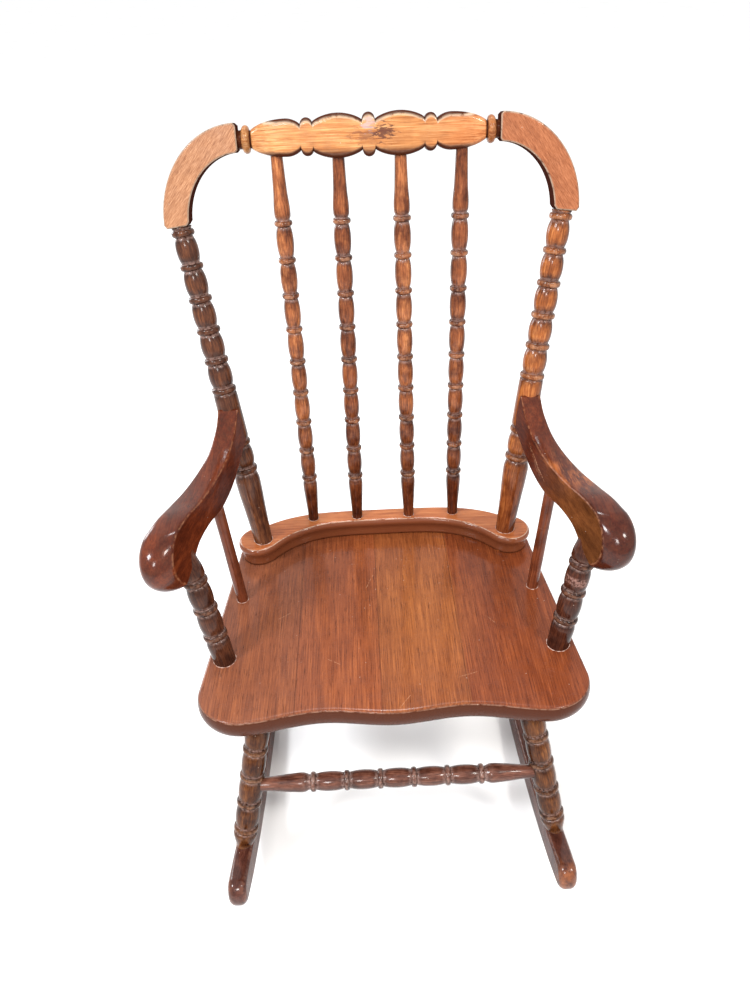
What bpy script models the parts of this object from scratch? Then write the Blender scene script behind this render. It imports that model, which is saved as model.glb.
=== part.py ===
"""A child's rocking chair of turned and sawn wood.

It faces -Y, stands on z = 0 and is symmetric about x = 0.
Lengths are in metres. Places are measured from the empty chair_origin, which carries every piece.
"""

import math

import bmesh
import bpy
from mathutils import Matrix, Vector

GAP = 0.0003  # clearance where two pieces meet
SIDES = ((-1, "left"), (1, "right"))

# Seat: a flat board, tilted so that its front edge is the higher one
SEAT_TOP_Z = 0.2379
SEAT_TILT = math.radians(1.9)
SEAT_THICKNESS = 0.024
SEAT_HALF_WIDTH = 0.1935
SEAT_WIDEST_Y = -0.180
SEAT_CORNER_X = 0.150
SEAT_REAR_RADIUS = 0.0275

# Back block: the curved riser that the posts and the spindles stand on
BLOCK_HEIGHT = 0.024
BLOCK_LOBE = Vector((0.151, 0.029))
BLOCK_LOBE_RADIUS = 0.0245
BLOCK_REAR_Y = 0.0795
BLOCK_FRONT_Y = 0.053

# Back: a plane that leans away from the sitter and holds the posts and the crest
BACK_FOOT = Vector((0, 0.0272, 0.2591))
BACK_RECLINE = math.radians(12.13)
POST_FOOT_X = 0.145
POST_LEAN = math.radians(7.08)
POST_LENGTH = 0.3625
POST_RING_PITCH = 0.0328
POST_FOOT_DEPTH = 0.036
POST_TENON = (0.0065, 0.020)  # radius and length of the pin on its top
SPINDLE_FEET = (0.0861, 0.0318)
SPINDLE_TOPS = (0.0894, 0.0300)
SPINDLE_FOOT_Y = 0.064
SPINDLE_FOOT_DEPTH = 0.016
SPINDLE_TOP_DEPTH = 0.010
SPINDLE_RING_PITCH = 0.0364

# Crest: a scalloped rail between two curved corner blocks, measured up the back plane from its foot
CREST_HEIGHT = 0.4345
CREST_THICKNESS = 0.020
CREST_FLAT_HALF = 0.111
CREST_PIN = (0.0065, 0.0140)  # radius and length of the pin in the corner block
CORNER_THICKNESS = 0.022
CORNER_END_X = 0.1245
CORNER_OUTER = (0.0798, 0.0895)
CORNER_INNER = (0.0550, 0.0638)

# Arms
ARM_REAR_Y = 0.052
ARM_INNER_X = 0.1526
ARM_OUTER_X = 0.1745
ARM_PLAN_Y = 0.045
ARM_INNER_FLARE = 0.2324
ARM_OUTER_FLARE = 0.298
ARM_LEAN = 0.12
ARM_LEAN_Z = 0.400
ARM_NOSE_BULGE = 0.009
ARM_POST = (Vector((0.174, -0.139, 0.2424)), Vector((0.1962, -0.1138, 0.3700)))
ARM_POST_RING_PITCH = 0.0330
ARM_DOWEL = (Vector((0.165, -0.050, 0.2395)), Vector((0.1795, -0.0235, 0.3660)))
ARM_DOWEL_RADIUS = 0.0063
ARM_SOCKET_DEPTH = 0.014

# Rockers: concentric arcs, nearest the floor at ROCKER_LOW_Y
ROCKER_RADIUS = 0.800
ROCKER_LOW_Y = -0.0335
ROCKER_HEIGHT = 0.032
ROCKER_THICKNESS = 0.019
ROCKER_FRONT_Y = -0.304
ROCKER_REAR_Y = 0.280
ROCKER_X = 0.1625
ROCKER_TOE_OUT = math.radians(1.4)
ROCKER_STEPS = 20

# Legs, each from the centre of its foot on the rocker to the underside of the seat
LEG_TOP_X = 0.1360
FRONT_LEG_TOP_Y = -0.1750
FRONT_LEG_FOOT_Y = -0.2415
REAR_LEG_TOP_X = 0.1300
REAR_LEG_TOP_Y = -0.0080
REAR_LEG_FOOT_Y = 0.0720
LEG_RING_PITCH = 0.0321
LEG_SOCKET_DEPTH = 0.016
LEG_FOOT_DEPTH = 0.016
STRETCHER_HEIGHT = 0.0738
STRETCHER_RING_PITCH = 0.0355
STRETCHER_TENON_DEPTH = 0.007
STRETCHER_END_RADIUS = 0.0072

# How many sides the turned pieces have
POST_SIDES = 12
LEG_SIDES = 10
SPINDLE_SIDES = 8

SCREW_HEAD = 0.0040
SCREW_SHANK = 0.0019
STEEL = (0.30, 0.29, 0.27)


def clear_scene():
    for obj in list(bpy.data.objects):
        bpy.data.objects.remove(obj, do_unlink=True)


def new_collection(name):
    collection = bpy.data.collections.new(name)
    bpy.context.scene.collection.children.link(collection)
    return collection


def new_origin():
    """The empty that carries every piece, so that the footprint's middle is over the origin."""
    empty = bpy.data.objects.new("chair_origin", None)
    CHAIR.objects.link(empty)
    empty.location = (0, -(ROCKER_FRONT_Y + ROCKER_REAR_Y) / 2, 0)
    return empty


clear_scene()
CHAIR = new_collection("rocking_chair")
CUTTERS = new_collection("cutters")
ORIGIN = new_origin()


def paint(obj, colour, roughness=0.3, metallic=0.0):
    material = bpy.data.materials.new(obj.name)
    material.use_nodes = True
    shader = material.node_tree.nodes["Principled BSDF"]
    shader.inputs["Base Color"].default_value = (*colour, 1)
    shader.inputs["Roughness"].default_value = roughness
    shader.inputs["Metallic"].default_value = metallic
    obj.data.materials.append(material)


def add_object(name, mesh, collection=CHAIR):
    obj = bpy.data.objects.new(name, mesh)
    collection.objects.link(obj)
    obj.parent = ORIGIN
    if collection is CUTTERS:
        obj.hide_render = True
        obj.display_type = "WIRE"
    return obj


def along(start, end):
    """The frame whose origin is start and whose Z axis runs towards end."""
    turn = (end - start).to_track_quat("Z", "Y")
    return Matrix.Translation(start) @ turn.to_matrix().to_4x4()


def turned(name, profile, start, end, sides=12, collection=CHAIR):
    """A turned piece. profile lists (distance from start, radius) upwards."""
    mesh = bpy.data.meshes.new(name)
    bm = bmesh.new()
    points = [(profile[-1][0], 0), *reversed(profile), (profile[0][0], 0)]
    chain = [bm.verts.new((radius, 0, height)) for height, radius in points]
    for upper, lower in zip(chain, chain[1:]):
        bm.edges.new((upper, lower))
    bm.to_mesh(mesh)
    bm.free()
    obj = add_object(name, mesh, collection)
    obj.matrix_local = along(start, end)
    screw = obj.modifiers.new("Turn", "SCREW")
    screw.axis = "Z"
    screw.steps = sides
    screw.render_steps = sides
    screw.use_merge_vertices = True
    screw.merge_threshold = 0.00001
    screw.use_smooth_shade = True
    return obj


def bore(obj, start, end, radius, sides=16):
    """A round hole from start to end, cut out of obj."""
    length = (end - start).length
    name = f"bore_{len(CUTTERS.objects)}_{obj.name}"
    cutter = turned(name, [(0, radius), (length, radius)], start, end, sides, CUTTERS)
    cut(obj, cutter)


def socket(obj, profile, low, high, start, end, sides):
    """Room in obj for a turned piece, GAP wider than its profile between these two distances."""
    points = [(place, radius + GAP) for place, radius in profile if low <= place <= high]
    first = (points[0][0] - GAP, points[0][1])
    last = (points[-1][0] + GAP, points[-1][1])
    name = f"socket_{len(CUTTERS.objects)}_{obj.name}"
    cut(obj, turned(name, [first, *points[1:-1], last], start, end, sides, CUTTERS))


def cut(obj, cutter, operation="DIFFERENCE"):
    boolean = obj.modifiers.new(cutter.name, "BOOLEAN")
    boolean.operation = operation
    boolean.solver = "EXACT"
    boolean.object = cutter


def slab(name, outline, thickness, frame, collection=CHAIR):
    """A flat piece sawn to an outline, centred on the XY plane of its frame."""
    curve = bpy.data.curves.new(name, "CURVE")
    curve.dimensions = "2D"
    curve.fill_mode = "BOTH"
    curve.extrude = thickness / 2
    spline = curve.splines.new("POLY")
    spline.points.add(len(outline) - 1)
    for point, (x, y) in zip(spline.points, outline):
        point.co = (x, y, 0, 1)
    spline.use_cyclic_u = True
    drawn = bpy.data.objects.new(name + "_outline", curve)
    bpy.context.scene.collection.objects.link(drawn)
    bpy.context.view_layer.update()
    graph = bpy.context.evaluated_depsgraph_get()
    mesh = bpy.data.meshes.new_from_object(drawn.evaluated_get(graph))
    bpy.data.objects.remove(drawn, do_unlink=True)
    bm = bmesh.new()
    bm.from_mesh(mesh)
    bmesh.ops.remove_doubles(bm, verts=bm.verts, dist=0.00001)
    bmesh.ops.dissolve_limit(bm, angle_limit=0.0001, verts=bm.verts, edges=bm.edges)
    bmesh.ops.recalc_face_normals(bm, faces=bm.faces)
    bm.to_mesh(mesh)
    bm.free()
    mesh.name = name
    mesh.materials.clear()
    obj = add_object(name, mesh, collection)
    obj.matrix_local = frame
    return obj


def round_edges(obj, width, segments=2, angle=50):
    bevel = obj.modifiers.new("Rounded edges", "BEVEL")
    bevel.width = width
    bevel.segments = segments
    bevel.limit_method = "ANGLE"
    bevel.angle_limit = math.radians(angle)
    obj.data.shade_smooth()
    obj.data.set_sharp_from_angle(angle=math.radians(40))


def arc(centre, radii, start, end, steps):
    """Points on an ellipse from one angle to another, in degrees from +x towards +y."""
    angles = (math.radians(start + (end - start) * step / steps) for step in range(steps + 1))
    return [(centre[0] + radii[0] * math.cos(a), centre[1] + radii[1] * math.sin(a)) for a in angles]


def mirrored(half):
    """A closed outline from its half at x >= 0, which starts and ends on the centre line."""
    return half + [(-x, y) for x, y in reversed(half[1:-1])]


def spread(low, high, steps):
    return [low + (high - low) * step / steps for step in range(steps + 1)]


# ---- Turning patterns. A ring is a thin bead between two grooves. A bobbin is the barrel between.

RING_WIDTH = 0.0062


def spool(rings, ring_radius, bobbin_loss, groove_loss):
    """Rings at the given distances, with bobbins between them. ring_radius(distance) is theirs."""
    profile = []
    for index, place in enumerate(rings):
        radius = ring_radius(place)
        if index:
            below = rings[index - 1]
            for share in (0.34, 0.66):
                middle = below + (place - below) * share
                profile.append((middle, ring_radius(middle) - bobbin_loss))
        profile.append((place - RING_WIDTH / 2, radius - groove_loss))
        profile.append((place, radius))
        profile.append((place + RING_WIDTH / 2, radius - groove_loss))
    return profile


def post_ring_radius(place):
    return 0.0116 + (0.356 - place) * 0.0117


def post_profile():
    upper = [0.192 + POST_RING_PITCH * count for count in range(6)]
    lower = [0.0962, 0.1292]
    top = POST_LENGTH - GAP
    return [
        (-POST_FOOT_DEPTH, 0.01075),
        (0, 0.01075),
        (0.045, 0.0126),
        (0.084, 0.0143),
        *spool(lower, post_ring_radius, 0.0009, 0.0026),
        (0.1365, 0.0134),
        (0.1830, 0.0131),
        *spool(upper, post_ring_radius, 0.0009, 0.0026),
        (top, 0.0100),
        (top, POST_TENON[0]),
        (top + POST_TENON[1], POST_TENON[0]),
    ]


def spindle_profile(length):
    rings = [0.0591 + SPINDLE_RING_PITCH * count for count in range(9)]
    return [
        (-SPINDLE_FOOT_DEPTH, 0.0060),
        (0, 0.0060),
        (0.030, 0.0077),
        (0.051, 0.0086),
        *spool(rings, lambda place: 0.00925, 0.0008, 0.0022),
        (0.362, 0.0083),
        (0.380, 0.0069),
        (length, 0.0055),
    ]


def leg_profile(length):
    rings = [0.0221 + LEG_RING_PITCH * count for count in range(5)]
    return [
        (-LEG_FOOT_DEPTH, 0.0087),
        (0, 0.0087),
        (0.008, 0.0113),
        (0.015, 0.0131),
        *spool(rings, lambda place: 0.0133, 0.0008, 0.0026),
        (length - 0.006, 0.0117),
        (length, 0.0112),
        (length + LEG_SOCKET_DEPTH, 0.0110),
    ]


def arm_post_profile(length):
    rings = [0.0330 + ARM_POST_RING_PITCH * count for count in range(3)]
    return [
        (-ARM_SOCKET_DEPTH, 0.0115),
        (0, 0.0115),
        (0.018, 0.0119),
        *spool(rings, lambda place: 0.0127, 0.0008, 0.0024),
        (length - 0.020, 0.0118),
        (length - 0.008, 0.0096),
        (length, 0.0090),
        (length + ARM_SOCKET_DEPTH, 0.0090),
    ]


def front_stretcher_profile(length):
    middle = length / 2
    rings = [middle + STRETCHER_RING_PITCH * (count - 2.5) for count in range(6)]
    vase = rings[0] - 0.011
    return [
        (0, STRETCHER_END_RADIUS),
        (0.012, STRETCHER_END_RADIUS),
        (vase, 0.0101),
        *spool(rings, lambda place: 0.0104, 0.0006, 0.0020),
        (length - vase, 0.0101),
        (length - 0.012, STRETCHER_END_RADIUS),
        (length, STRETCHER_END_RADIUS),
    ]


def rear_stretcher_profile(length):
    return [
        (0, STRETCHER_END_RADIUS),
        (0.012, STRETCHER_END_RADIUS),
        (length * 0.3, 0.0092),
        (length * 0.5, 0.0098),
        (length * 0.7, 0.0092),
        (length - 0.012, STRETCHER_END_RADIUS),
        (length, STRETCHER_END_RADIUS),
    ]


# ---- Seat and back block

SEAT_FRAME = Matrix.Translation((0, 0, SEAT_TOP_Z)) @ Matrix.Rotation(-SEAT_TILT, 4, "X")


def on_seat(x, y, height=0.0):
    """The point this far above the seat's top face, at these places along it."""
    return SEAT_FRAME @ Vector((x, y, height))


def seat_front_y(x):
    """The serpentine front edge: a lobe in the middle, one near each corner, hollows between."""
    wave = x / 0.148
    return -0.2135 - 0.0036 * math.cos(2 * math.pi * wave) - 0.0045 * wave**2


def block_rear_y(x):
    return BLOCK_REAR_Y - 0.0195 * (x / 0.1386) ** 4


def block_front_y(x):
    return BLOCK_FRONT_Y - 0.010 * (x / 0.093) ** 4


def seat_outline():
    front = [(x, seat_front_y(x)) for x in spread(0, SEAT_CORNER_X, 12)]
    depth = SEAT_WIDEST_Y - seat_front_y(SEAT_CORNER_X)
    corner_radii = (SEAT_HALF_WIDTH - SEAT_CORNER_X, depth)
    corner = arc((SEAT_CORNER_X, SEAT_WIDEST_Y), corner_radii, -90, 0, 7)[1:]
    rear_corner = arc(BLOCK_LOBE, (SEAT_REAR_RADIUS, SEAT_REAR_RADIUS), -4, 80, 5)
    rear = [(x, block_rear_y(x) + 0.0035) for x in spread(0.140, 0, 8)]
    return mirrored(front + corner + rear_corner + rear)


def block_outline():
    front = [(x, block_front_y(x)) for x in spread(0, 0.132, 9)]
    lobe = arc(BLOCK_LOBE, (BLOCK_LOBE_RADIUS, BLOCK_LOBE_RADIUS), -130, 85, 12)
    rear = [(x, block_rear_y(x)) for x in spread(0.142, 0, 8)]
    return mirrored(front + lobe + rear)


def build_seat():
    frame = SEAT_FRAME @ Matrix.Translation((0, 0, -SEAT_THICKNESS / 2))
    seat = slab("seat", seat_outline(), SEAT_THICKNESS, frame)
    round_edges(seat, 0.004, segments=1)
    paint(seat, (0.23, 0.075, 0.035), 0.28)
    return seat


def build_block():
    frame = SEAT_FRAME @ Matrix.Translation((0, 0, GAP + BLOCK_HEIGHT / 2))
    block = slab("back_block", block_outline(), BLOCK_HEIGHT, frame)
    round_edges(block, 0.003, segments=1)
    paint(block, (0.30, 0.11, 0.045), 0.28)
    return block


# ---- Back

BACK_UP = Vector((0, math.sin(BACK_RECLINE), math.cos(BACK_RECLINE)))
BACK_FRONT = Vector((1, 0, 0)).cross(BACK_UP)
BACK_TURN = Matrix((Vector((1, 0, 0)), BACK_UP, BACK_FRONT)).transposed()
BACK_FRAME = Matrix.Translation(BACK_FOOT) @ BACK_TURN.to_4x4()


def on_back(x, height):
    return BACK_FRAME @ Vector((x, height, 0))


def post_axis(side):
    """Foot and top of a post's turned part, on the back plane."""
    foot = on_back(side * POST_FOOT_X, 0)
    rise = Vector((side * math.sin(POST_LEAN), math.cos(POST_LEAN)))
    top = on_back(side * POST_FOOT_X + rise.x * POST_LENGTH, rise.y * POST_LENGTH)
    return foot, top


def build_posts(seat, block):
    posts = {}
    for side, word in SIDES:
        foot, top = post_axis(side)
        post = turned("back_post_" + word, post_profile(), foot, top, POST_SIDES)
        paint(post, (0.17, 0.06, 0.03))
        for board in (seat, block):
            socket(board, post_profile(), -POST_FOOT_DEPTH, 0.05, foot, top, POST_SIDES)
        posts[side] = post
    return posts


def crest_half_height(x):
    """Half the flat rail's height: a nub in the middle, then a broad lobe, a nub and an outer lobe."""
    x = abs(x)
    if x < 0.0062:
        return 0.0130 + math.sqrt(max(0.0, 0.0062**2 - x**2))
    if x < 0.0528:
        return 0.0128 + 0.0067 * math.sin(math.pi * (x - 0.0062) / 0.0466) ** 0.7
    if x < 0.0646:
        return 0.0108 + math.sqrt(max(0.0, 0.0059**2 - (x - 0.0587) ** 2))
    if x < 0.0780:
        return 0.0108 + 0.0057 * math.sin(math.pi / 2 * (x - 0.0646) / 0.0134) ** 0.7
    return 0.0165 * math.sqrt(1 - ((x - 0.0780) / 0.0385) ** 2)


def crest_outline():
    nub = [0, 0.0031, 0.0053, 0.0062]
    lobe = spread(0.0062, 0.0528, 9)[1:]
    outer_nub = [0.0543, 0.0587, 0.0631, 0.0646]
    outer_lobe = [0.0671, 0.0720, *spread(0.0780, CREST_FLAT_HALF, 7)]
    across = nub + lobe + outer_nub + outer_lobe
    right = [(x, crest_half_height(x)) for x in across]
    upper = [(-x, y) for x, y in reversed(right[1:])] + right
    return upper + [(x, -y) for x, y in reversed(upper)]


def build_crest():
    frame = BACK_FRAME @ Matrix.Translation((0, CREST_HEIGHT, 0))
    rail = slab("crest_rail", crest_outline(), CREST_THICKNESS, frame)
    round_edges(rail, 0.0035, segments=1, angle=60)
    pin_radius, pin_length = CREST_PIN
    for side, word in SIDES:
        tip = CORNER_END_X + pin_length
        profile = [
            (0.102, 0.0064),
            (0.1125, 0.0078),
            (0.1135, 0.0116),
            (0.1165, 0.0126),
            (0.1195, 0.0118),
            (0.1210, 0.0085),
            (CORNER_END_X - GAP, 0.0080),
            (CORNER_END_X - GAP, pin_radius),
            (tip, pin_radius),
        ]
        middle = on_back(0, CREST_HEIGHT)
        end = turned("crest_end_" + word, profile, middle, on_back(side, CREST_HEIGHT), 12, CUTTERS)
        cut(rail, end, "UNION")
    paint(rail, (0.50, 0.20, 0.07), 0.3)
    return rail


def corner_outline(side):
    """A quarter turn from the post's top to the rail's end. Its lower end is square to the post."""
    post_x = POST_FOOT_X + math.sin(POST_LEAN) * POST_LENGTH
    centre = (CORNER_END_X, math.cos(POST_LEAN) * POST_LENGTH)

    def end_angle(radii):
        """The angle on this ellipse at which the square end meets it."""
        beyond = post_x - CORNER_END_X - radii[0]
        return math.degrees(beyond * math.tan(POST_LEAN) / radii[1])

    outer = arc(centre, CORNER_OUTER, end_angle(CORNER_OUTER), 90, 12)
    inner = arc(centre, CORNER_INNER, 90, end_angle(CORNER_INNER), 9)
    return [(side * x, y) for x, y in outer + inner]


def build_corners():
    for side, word in SIDES:
        corner = slab("crest_corner_" + word, corner_outline(side), CORNER_THICKNESS, BACK_FRAME)
        round_edges(corner, 0.003, segments=1, angle=60)
        foot, top = post_axis(side)
        axis = (top - foot).normalized()
        radius, length = POST_TENON
        bore(corner, top - axis * 0.01, top + axis * (length + GAP), radius + GAP)
        pin_radius, pin_length = CREST_PIN
        end = on_back(side * (CORNER_END_X + pin_length + GAP), CREST_HEIGHT)
        bore(corner, on_back(side * 0.11, CREST_HEIGHT), end, pin_radius + GAP)
        paint(corner, (0.42, 0.16, 0.06), 0.3)


def build_spindles(block, rail):
    number = 0
    rail_bottom = CREST_HEIGHT - crest_half_height(SPINDLE_TOPS[0])
    for side, order in ((-1, (0, 1)), (1, (1, 0))):
        for index in order:
            number += 1
            foot = on_seat(side * SPINDLE_FEET[index], SPINDLE_FOOT_Y, GAP + BLOCK_HEIGHT)
            top = on_back(side * SPINDLE_TOPS[index], rail_bottom + SPINDLE_TOP_DEPTH)
            axis = (top - foot).normalized()
            length = (top - foot).length
            spindle = turned(f"back_spindle_{number}", spindle_profile(length), foot, top, SPINDLE_SIDES)
            paint(spindle, (0.24, 0.09, 0.04))
            bore(block, foot - axis * (SPINDLE_FOOT_DEPTH + GAP), foot + axis * 0.02, 0.0060 + GAP)
            bore(rail, top - axis * 0.03, top + axis * GAP, 0.0060 + GAP)


# ---- Arms


def arm_outline():
    """The arm's side view, as (y, z): an S that dips behind the hand and rolls over at the front."""
    top = [(ARM_REAR_Y, 0.429), (0.030, 0.4135), (0.010, 0.4035), (-0.015, 0.3985), (-0.045, 0.3975)]
    swell = [(-0.075, 0.4005), (-0.102, 0.4055)]
    nose = arc((-0.1180, 0.3760), (0.0330, 0.0305), 100, 228, 9)
    bottom = [(-0.120, 0.3600), (-0.098, 0.3685), (-0.070, 0.3690), (-0.040, 0.3640)]
    rear = [(-0.010, 0.3670), (0.020, 0.3770), (ARM_REAR_Y, 0.3920)]
    return top + swell + nose + bottom + rear


def arm_point(side, y, z, across):
    """A point of the arm. across runs from 0 on its inner face to 1 on its outer face."""
    inner = ARM_INNER_X + ARM_INNER_FLARE * (ARM_PLAN_Y - y)
    outer = ARM_OUTER_X + ARM_OUTER_FLARE * (ARM_PLAN_Y - y)
    x = inner + (outer - inner) * across + ARM_LEAN * (z - ARM_LEAN_Z)
    forward = min(1.0, max(0.0, (-0.09 - y) / 0.06))
    bulge = ARM_NOSE_BULGE * forward * (1 - (2 * across - 1) ** 2)
    return Vector((side * x, y - bulge, z))


def build_arms(posts, seat):
    for side, word in SIDES:
        arm = slab("arm_" + word, arm_outline(), 1.0, Matrix.Identity(4))
        bm = bmesh.new()
        bm.from_mesh(arm.data)
        for cut_at in (-0.25, 0, 0.25):
            everything = bm.verts[:] + bm.edges[:] + bm.faces[:]
            bmesh.ops.bisect_plane(bm, geom=everything, plane_co=(0, 0, cut_at), plane_no=(0, 0, 1))
        for vert in bm.verts:
            y, z, across = vert.co
            vert.co = arm_point(side, y, z, across + 0.5)
        bmesh.ops.triangulate(bm, faces=[face for face in bm.faces if len(face.verts) > 4])
        bmesh.ops.recalc_face_normals(bm, faces=bm.faces)
        bm.to_mesh(arm.data)
        bm.free()
        round_edges(arm, 0.003, segments=1, angle=60)
        paint(arm, (0.14, 0.045, 0.025), 0.22)
        foot, top = post_axis(side)
        socket(arm, post_profile(), 0.120, 0.190, foot, top, POST_SIDES)
        build_arm_supports(side, word, arm, seat)
        build_arm_screw(side, word, arm, posts[side])


def build_arm_supports(side, word, arm, seat):
    flip = Vector((side, 1, 1))
    post_foot, post_top = (point * flip for point in ARM_POST)
    length = (post_top - post_foot).length
    profile = arm_post_profile(length)
    arm_post = turned("arm_post_" + word, profile, post_foot, post_top, LEG_SIDES)
    paint(arm_post, (0.12, 0.045, 0.03))
    socket(seat, profile, -ARM_SOCKET_DEPTH, 0.02, post_foot, post_top, LEG_SIDES)
    socket(arm, profile, length - 0.021, length + ARM_SOCKET_DEPTH, post_foot, post_top, LEG_SIDES)
    foot, top = (point * flip for point in ARM_DOWEL)
    axis = (top - foot).normalized()
    reach = axis * ARM_SOCKET_DEPTH
    dowel_length = (top - foot).length + 2 * ARM_SOCKET_DEPTH
    ends = [(0, ARM_DOWEL_RADIUS), (dowel_length, ARM_DOWEL_RADIUS)]
    dowel = turned("arm_dowel_" + word, ends, foot - reach, top + reach)
    paint(dowel, (0.17, 0.055, 0.03))
    bore(seat, foot - reach - axis * GAP, foot + axis * 0.02, ARM_DOWEL_RADIUS + GAP)
    bore(arm, top - axis * 0.02, top + reach + axis * GAP, ARM_DOWEL_RADIUS + GAP)


def build_screw(name, start, end, pieces, recess=0.0):
    """A flat-headed steel screw. Its head lies recess deep in the first of the pieces it joins."""
    length = (end - start).length
    neck = recess + 0.0025
    taper = length - 0.004
    profile = [(recess, SCREW_HEAD), (neck, SCREW_SHANK), (taper, SCREW_SHANK), (length, 0.0004)]
    screw = turned(name, profile, start, end, SPINDLE_SIDES)
    paint(screw, STEEL, 0.35, 1.0)
    deep = neck + GAP
    head, shank = SCREW_HEAD + GAP, SCREW_SHANK + GAP
    counterbore = [(-0.010, head), (deep, head), (deep, shank), (length + GAP, shank)]
    hole = [(deep, shank), (length + GAP, shank)]
    for piece, room in zip(pieces, (counterbore, hole)):
        hole_name = f"hole_{len(CUTTERS.objects)}_{piece.name}"
        cutter = turned(hole_name, room, start, end, SPINDLE_SIDES, CUTTERS)
        cut(piece, cutter)


def build_arm_screw(side, word, arm, post):
    """The screw through the post into the arm's end, under a wooden plug."""
    height = 0.1530
    foot, top = post_axis(side)
    axis = (top - foot).normalized()
    centre = foot + axis * height
    ahead = Vector((side * 0.16, -1, -0.02)).normalized()
    start = centre - ahead * 0.0125
    end = centre + ahead * 0.036
    build_screw("arm_screw_" + word, start, end, [post, arm], recess=0.005)
    plug_length = 0.0045
    plug = turned("arm_plug_" + word, [(0, 0.0037), (plug_length, 0.0037)], start, end, 8)
    paint(plug, (0.20, 0.07, 0.035))


# ---- Rockers, legs and stretchers


def rocker_outline():
    """Side view as (y, z): two concentric arcs, a rounded nose and a rounded tail."""
    step = (ROCKER_REAR_Y - ROCKER_FRONT_Y) / ROCKER_STEPS / ROCKER_RADIUS
    centre_z = ROCKER_RADIUS * math.cos(step / 2)
    middle = ROCKER_RADIUS - ROCKER_HEIGHT / 2
    half = ROCKER_HEIGHT / 2
    cap_length = 0.8 * half

    def rim(radius, angle):
        return (ROCKER_LOW_Y + radius * math.sin(angle), centre_z - radius * math.cos(angle))

    front = math.asin((ROCKER_FRONT_Y + cap_length - ROCKER_LOW_Y) / middle)
    rear = math.asin((ROCKER_REAR_Y - cap_length - ROCKER_LOW_Y) / middle)
    first = math.ceil(front / step - 0.5) + 0.5
    angles = [front]
    while first * step < rear:
        angles.append(first * step)
        first += 1
    angles.append(rear)
    lower = [rim(ROCKER_RADIUS, angle) for angle in angles]
    upper = [rim(ROCKER_RADIUS - ROCKER_HEIGHT, angle) for angle in reversed(angles)]

    def cap(angle, sense):
        points = []
        for turn in (60, 30, 0, -30, -60):
            along_rim = cap_length * math.cos(math.radians(turn)) * sense
            across_rim = half * math.sin(math.radians(turn))
            points.append(rim(middle + across_rim, angle + along_rim / middle))
        return points

    return lower + cap(rear, 1) + upper + cap(front, -1)[::-1]


def rocker_frame(side):
    """The outline's x and y become the chair's y and z, and the rocker toes out a little."""
    stand = Matrix(((0, 0, 1, 0), (1, 0, 0, 0), (0, 1, 0, 0), (0, 0, 0, 1)))
    toe_out = Matrix.Rotation(side * ROCKER_TOE_OUT, 4, "Z")
    return Matrix.Translation((side * ROCKER_X, 0, 0)) @ toe_out @ stand


def rocker_x(y):
    return ROCKER_X - math.tan(ROCKER_TOE_OUT) * y


def rocker_top_z(y):
    centre_z = ROCKER_RADIUS
    inner = ROCKER_RADIUS - ROCKER_HEIGHT
    return centre_z - math.sqrt(inner**2 - (y - ROCKER_LOW_Y) ** 2)


def leg_axis(side, top_x, top_y, foot_y):
    foot = Vector((side * rocker_x(foot_y), foot_y, rocker_top_z(foot_y)))
    top = on_seat(side * top_x, top_y, -SEAT_THICKNESS)
    return foot, top


def build_rockers_and_legs(seat):
    legs = {}
    for side, word in SIDES:
        rocker = slab("rocker_" + word, rocker_outline(), ROCKER_THICKNESS, rocker_frame(side))
        round_edges(rocker, 0.003, segments=1, angle=60)
        paint(rocker, (0.13, 0.05, 0.035), 0.25)
        places = (
            ("front", LEG_TOP_X, FRONT_LEG_TOP_Y, FRONT_LEG_FOOT_Y),
            ("rear", REAR_LEG_TOP_X, REAR_LEG_TOP_Y, REAR_LEG_FOOT_Y),
        )
        for end, top_x, top_y, foot_y in places:
            foot, top = leg_axis(side, top_x, top_y, foot_y)
            axis = (top - foot).normalized()
            length = (top - foot).length
            profile = leg_profile(length)
            leg = turned(f"{end}_leg_{word}", profile, foot, top, LEG_SIDES)
            paint(leg, (0.15, 0.06, 0.03))
            socket(rocker, profile, -LEG_FOOT_DEPTH, 0.016, foot, top, LEG_SIDES)
            socket(seat, profile, length - 0.0062, length + LEG_SOCKET_DEPTH, foot, top, LEG_SIDES)
            start = foot - axis * (ROCKER_HEIGHT + 0.003)
            tip = foot + axis * 0.012
            build_screw(f"{end}_rocker_screw_{word}", start, tip, [rocker, leg], recess=0.007)
            legs[end, side] = (leg, foot, axis)
    return legs


def build_stretcher(name, legs, end, height, profile, colour):
    """A cross rail between the two legs of one end, this far up each leg's axis."""
    left_leg, left_foot, left_axis = legs[end, -1]
    right_leg, right_foot, right_axis = legs[end, 1]
    start = left_foot + left_axis * height
    finish = right_foot + right_axis * height
    inward = (finish - start).normalized()
    start -= inward * (STRETCHER_TENON_DEPTH - 0.0127)
    finish += inward * (STRETCHER_TENON_DEPTH - 0.0127)
    stretcher = turned(name, profile((finish - start).length), start, finish, SPINDLE_SIDES)
    paint(stretcher, colour)
    for leg, tip, way in ((left_leg, start, inward), (right_leg, finish, -inward)):
        bore(leg, tip - way * GAP, tip + way * 0.03, STRETCHER_END_RADIUS + GAP)


def build_block_screws(seat, block):
    for name, x, y in (("left", -0.112, 0.050), ("middle", 0.0, 0.066), ("right", 0.112, 0.050)):
        start = on_seat(x, y, -SEAT_THICKNESS)
        end = on_seat(x, y, 0.013)
        build_screw("block_screw_" + name, start, end, [seat, block], recess=0.004)


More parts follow.
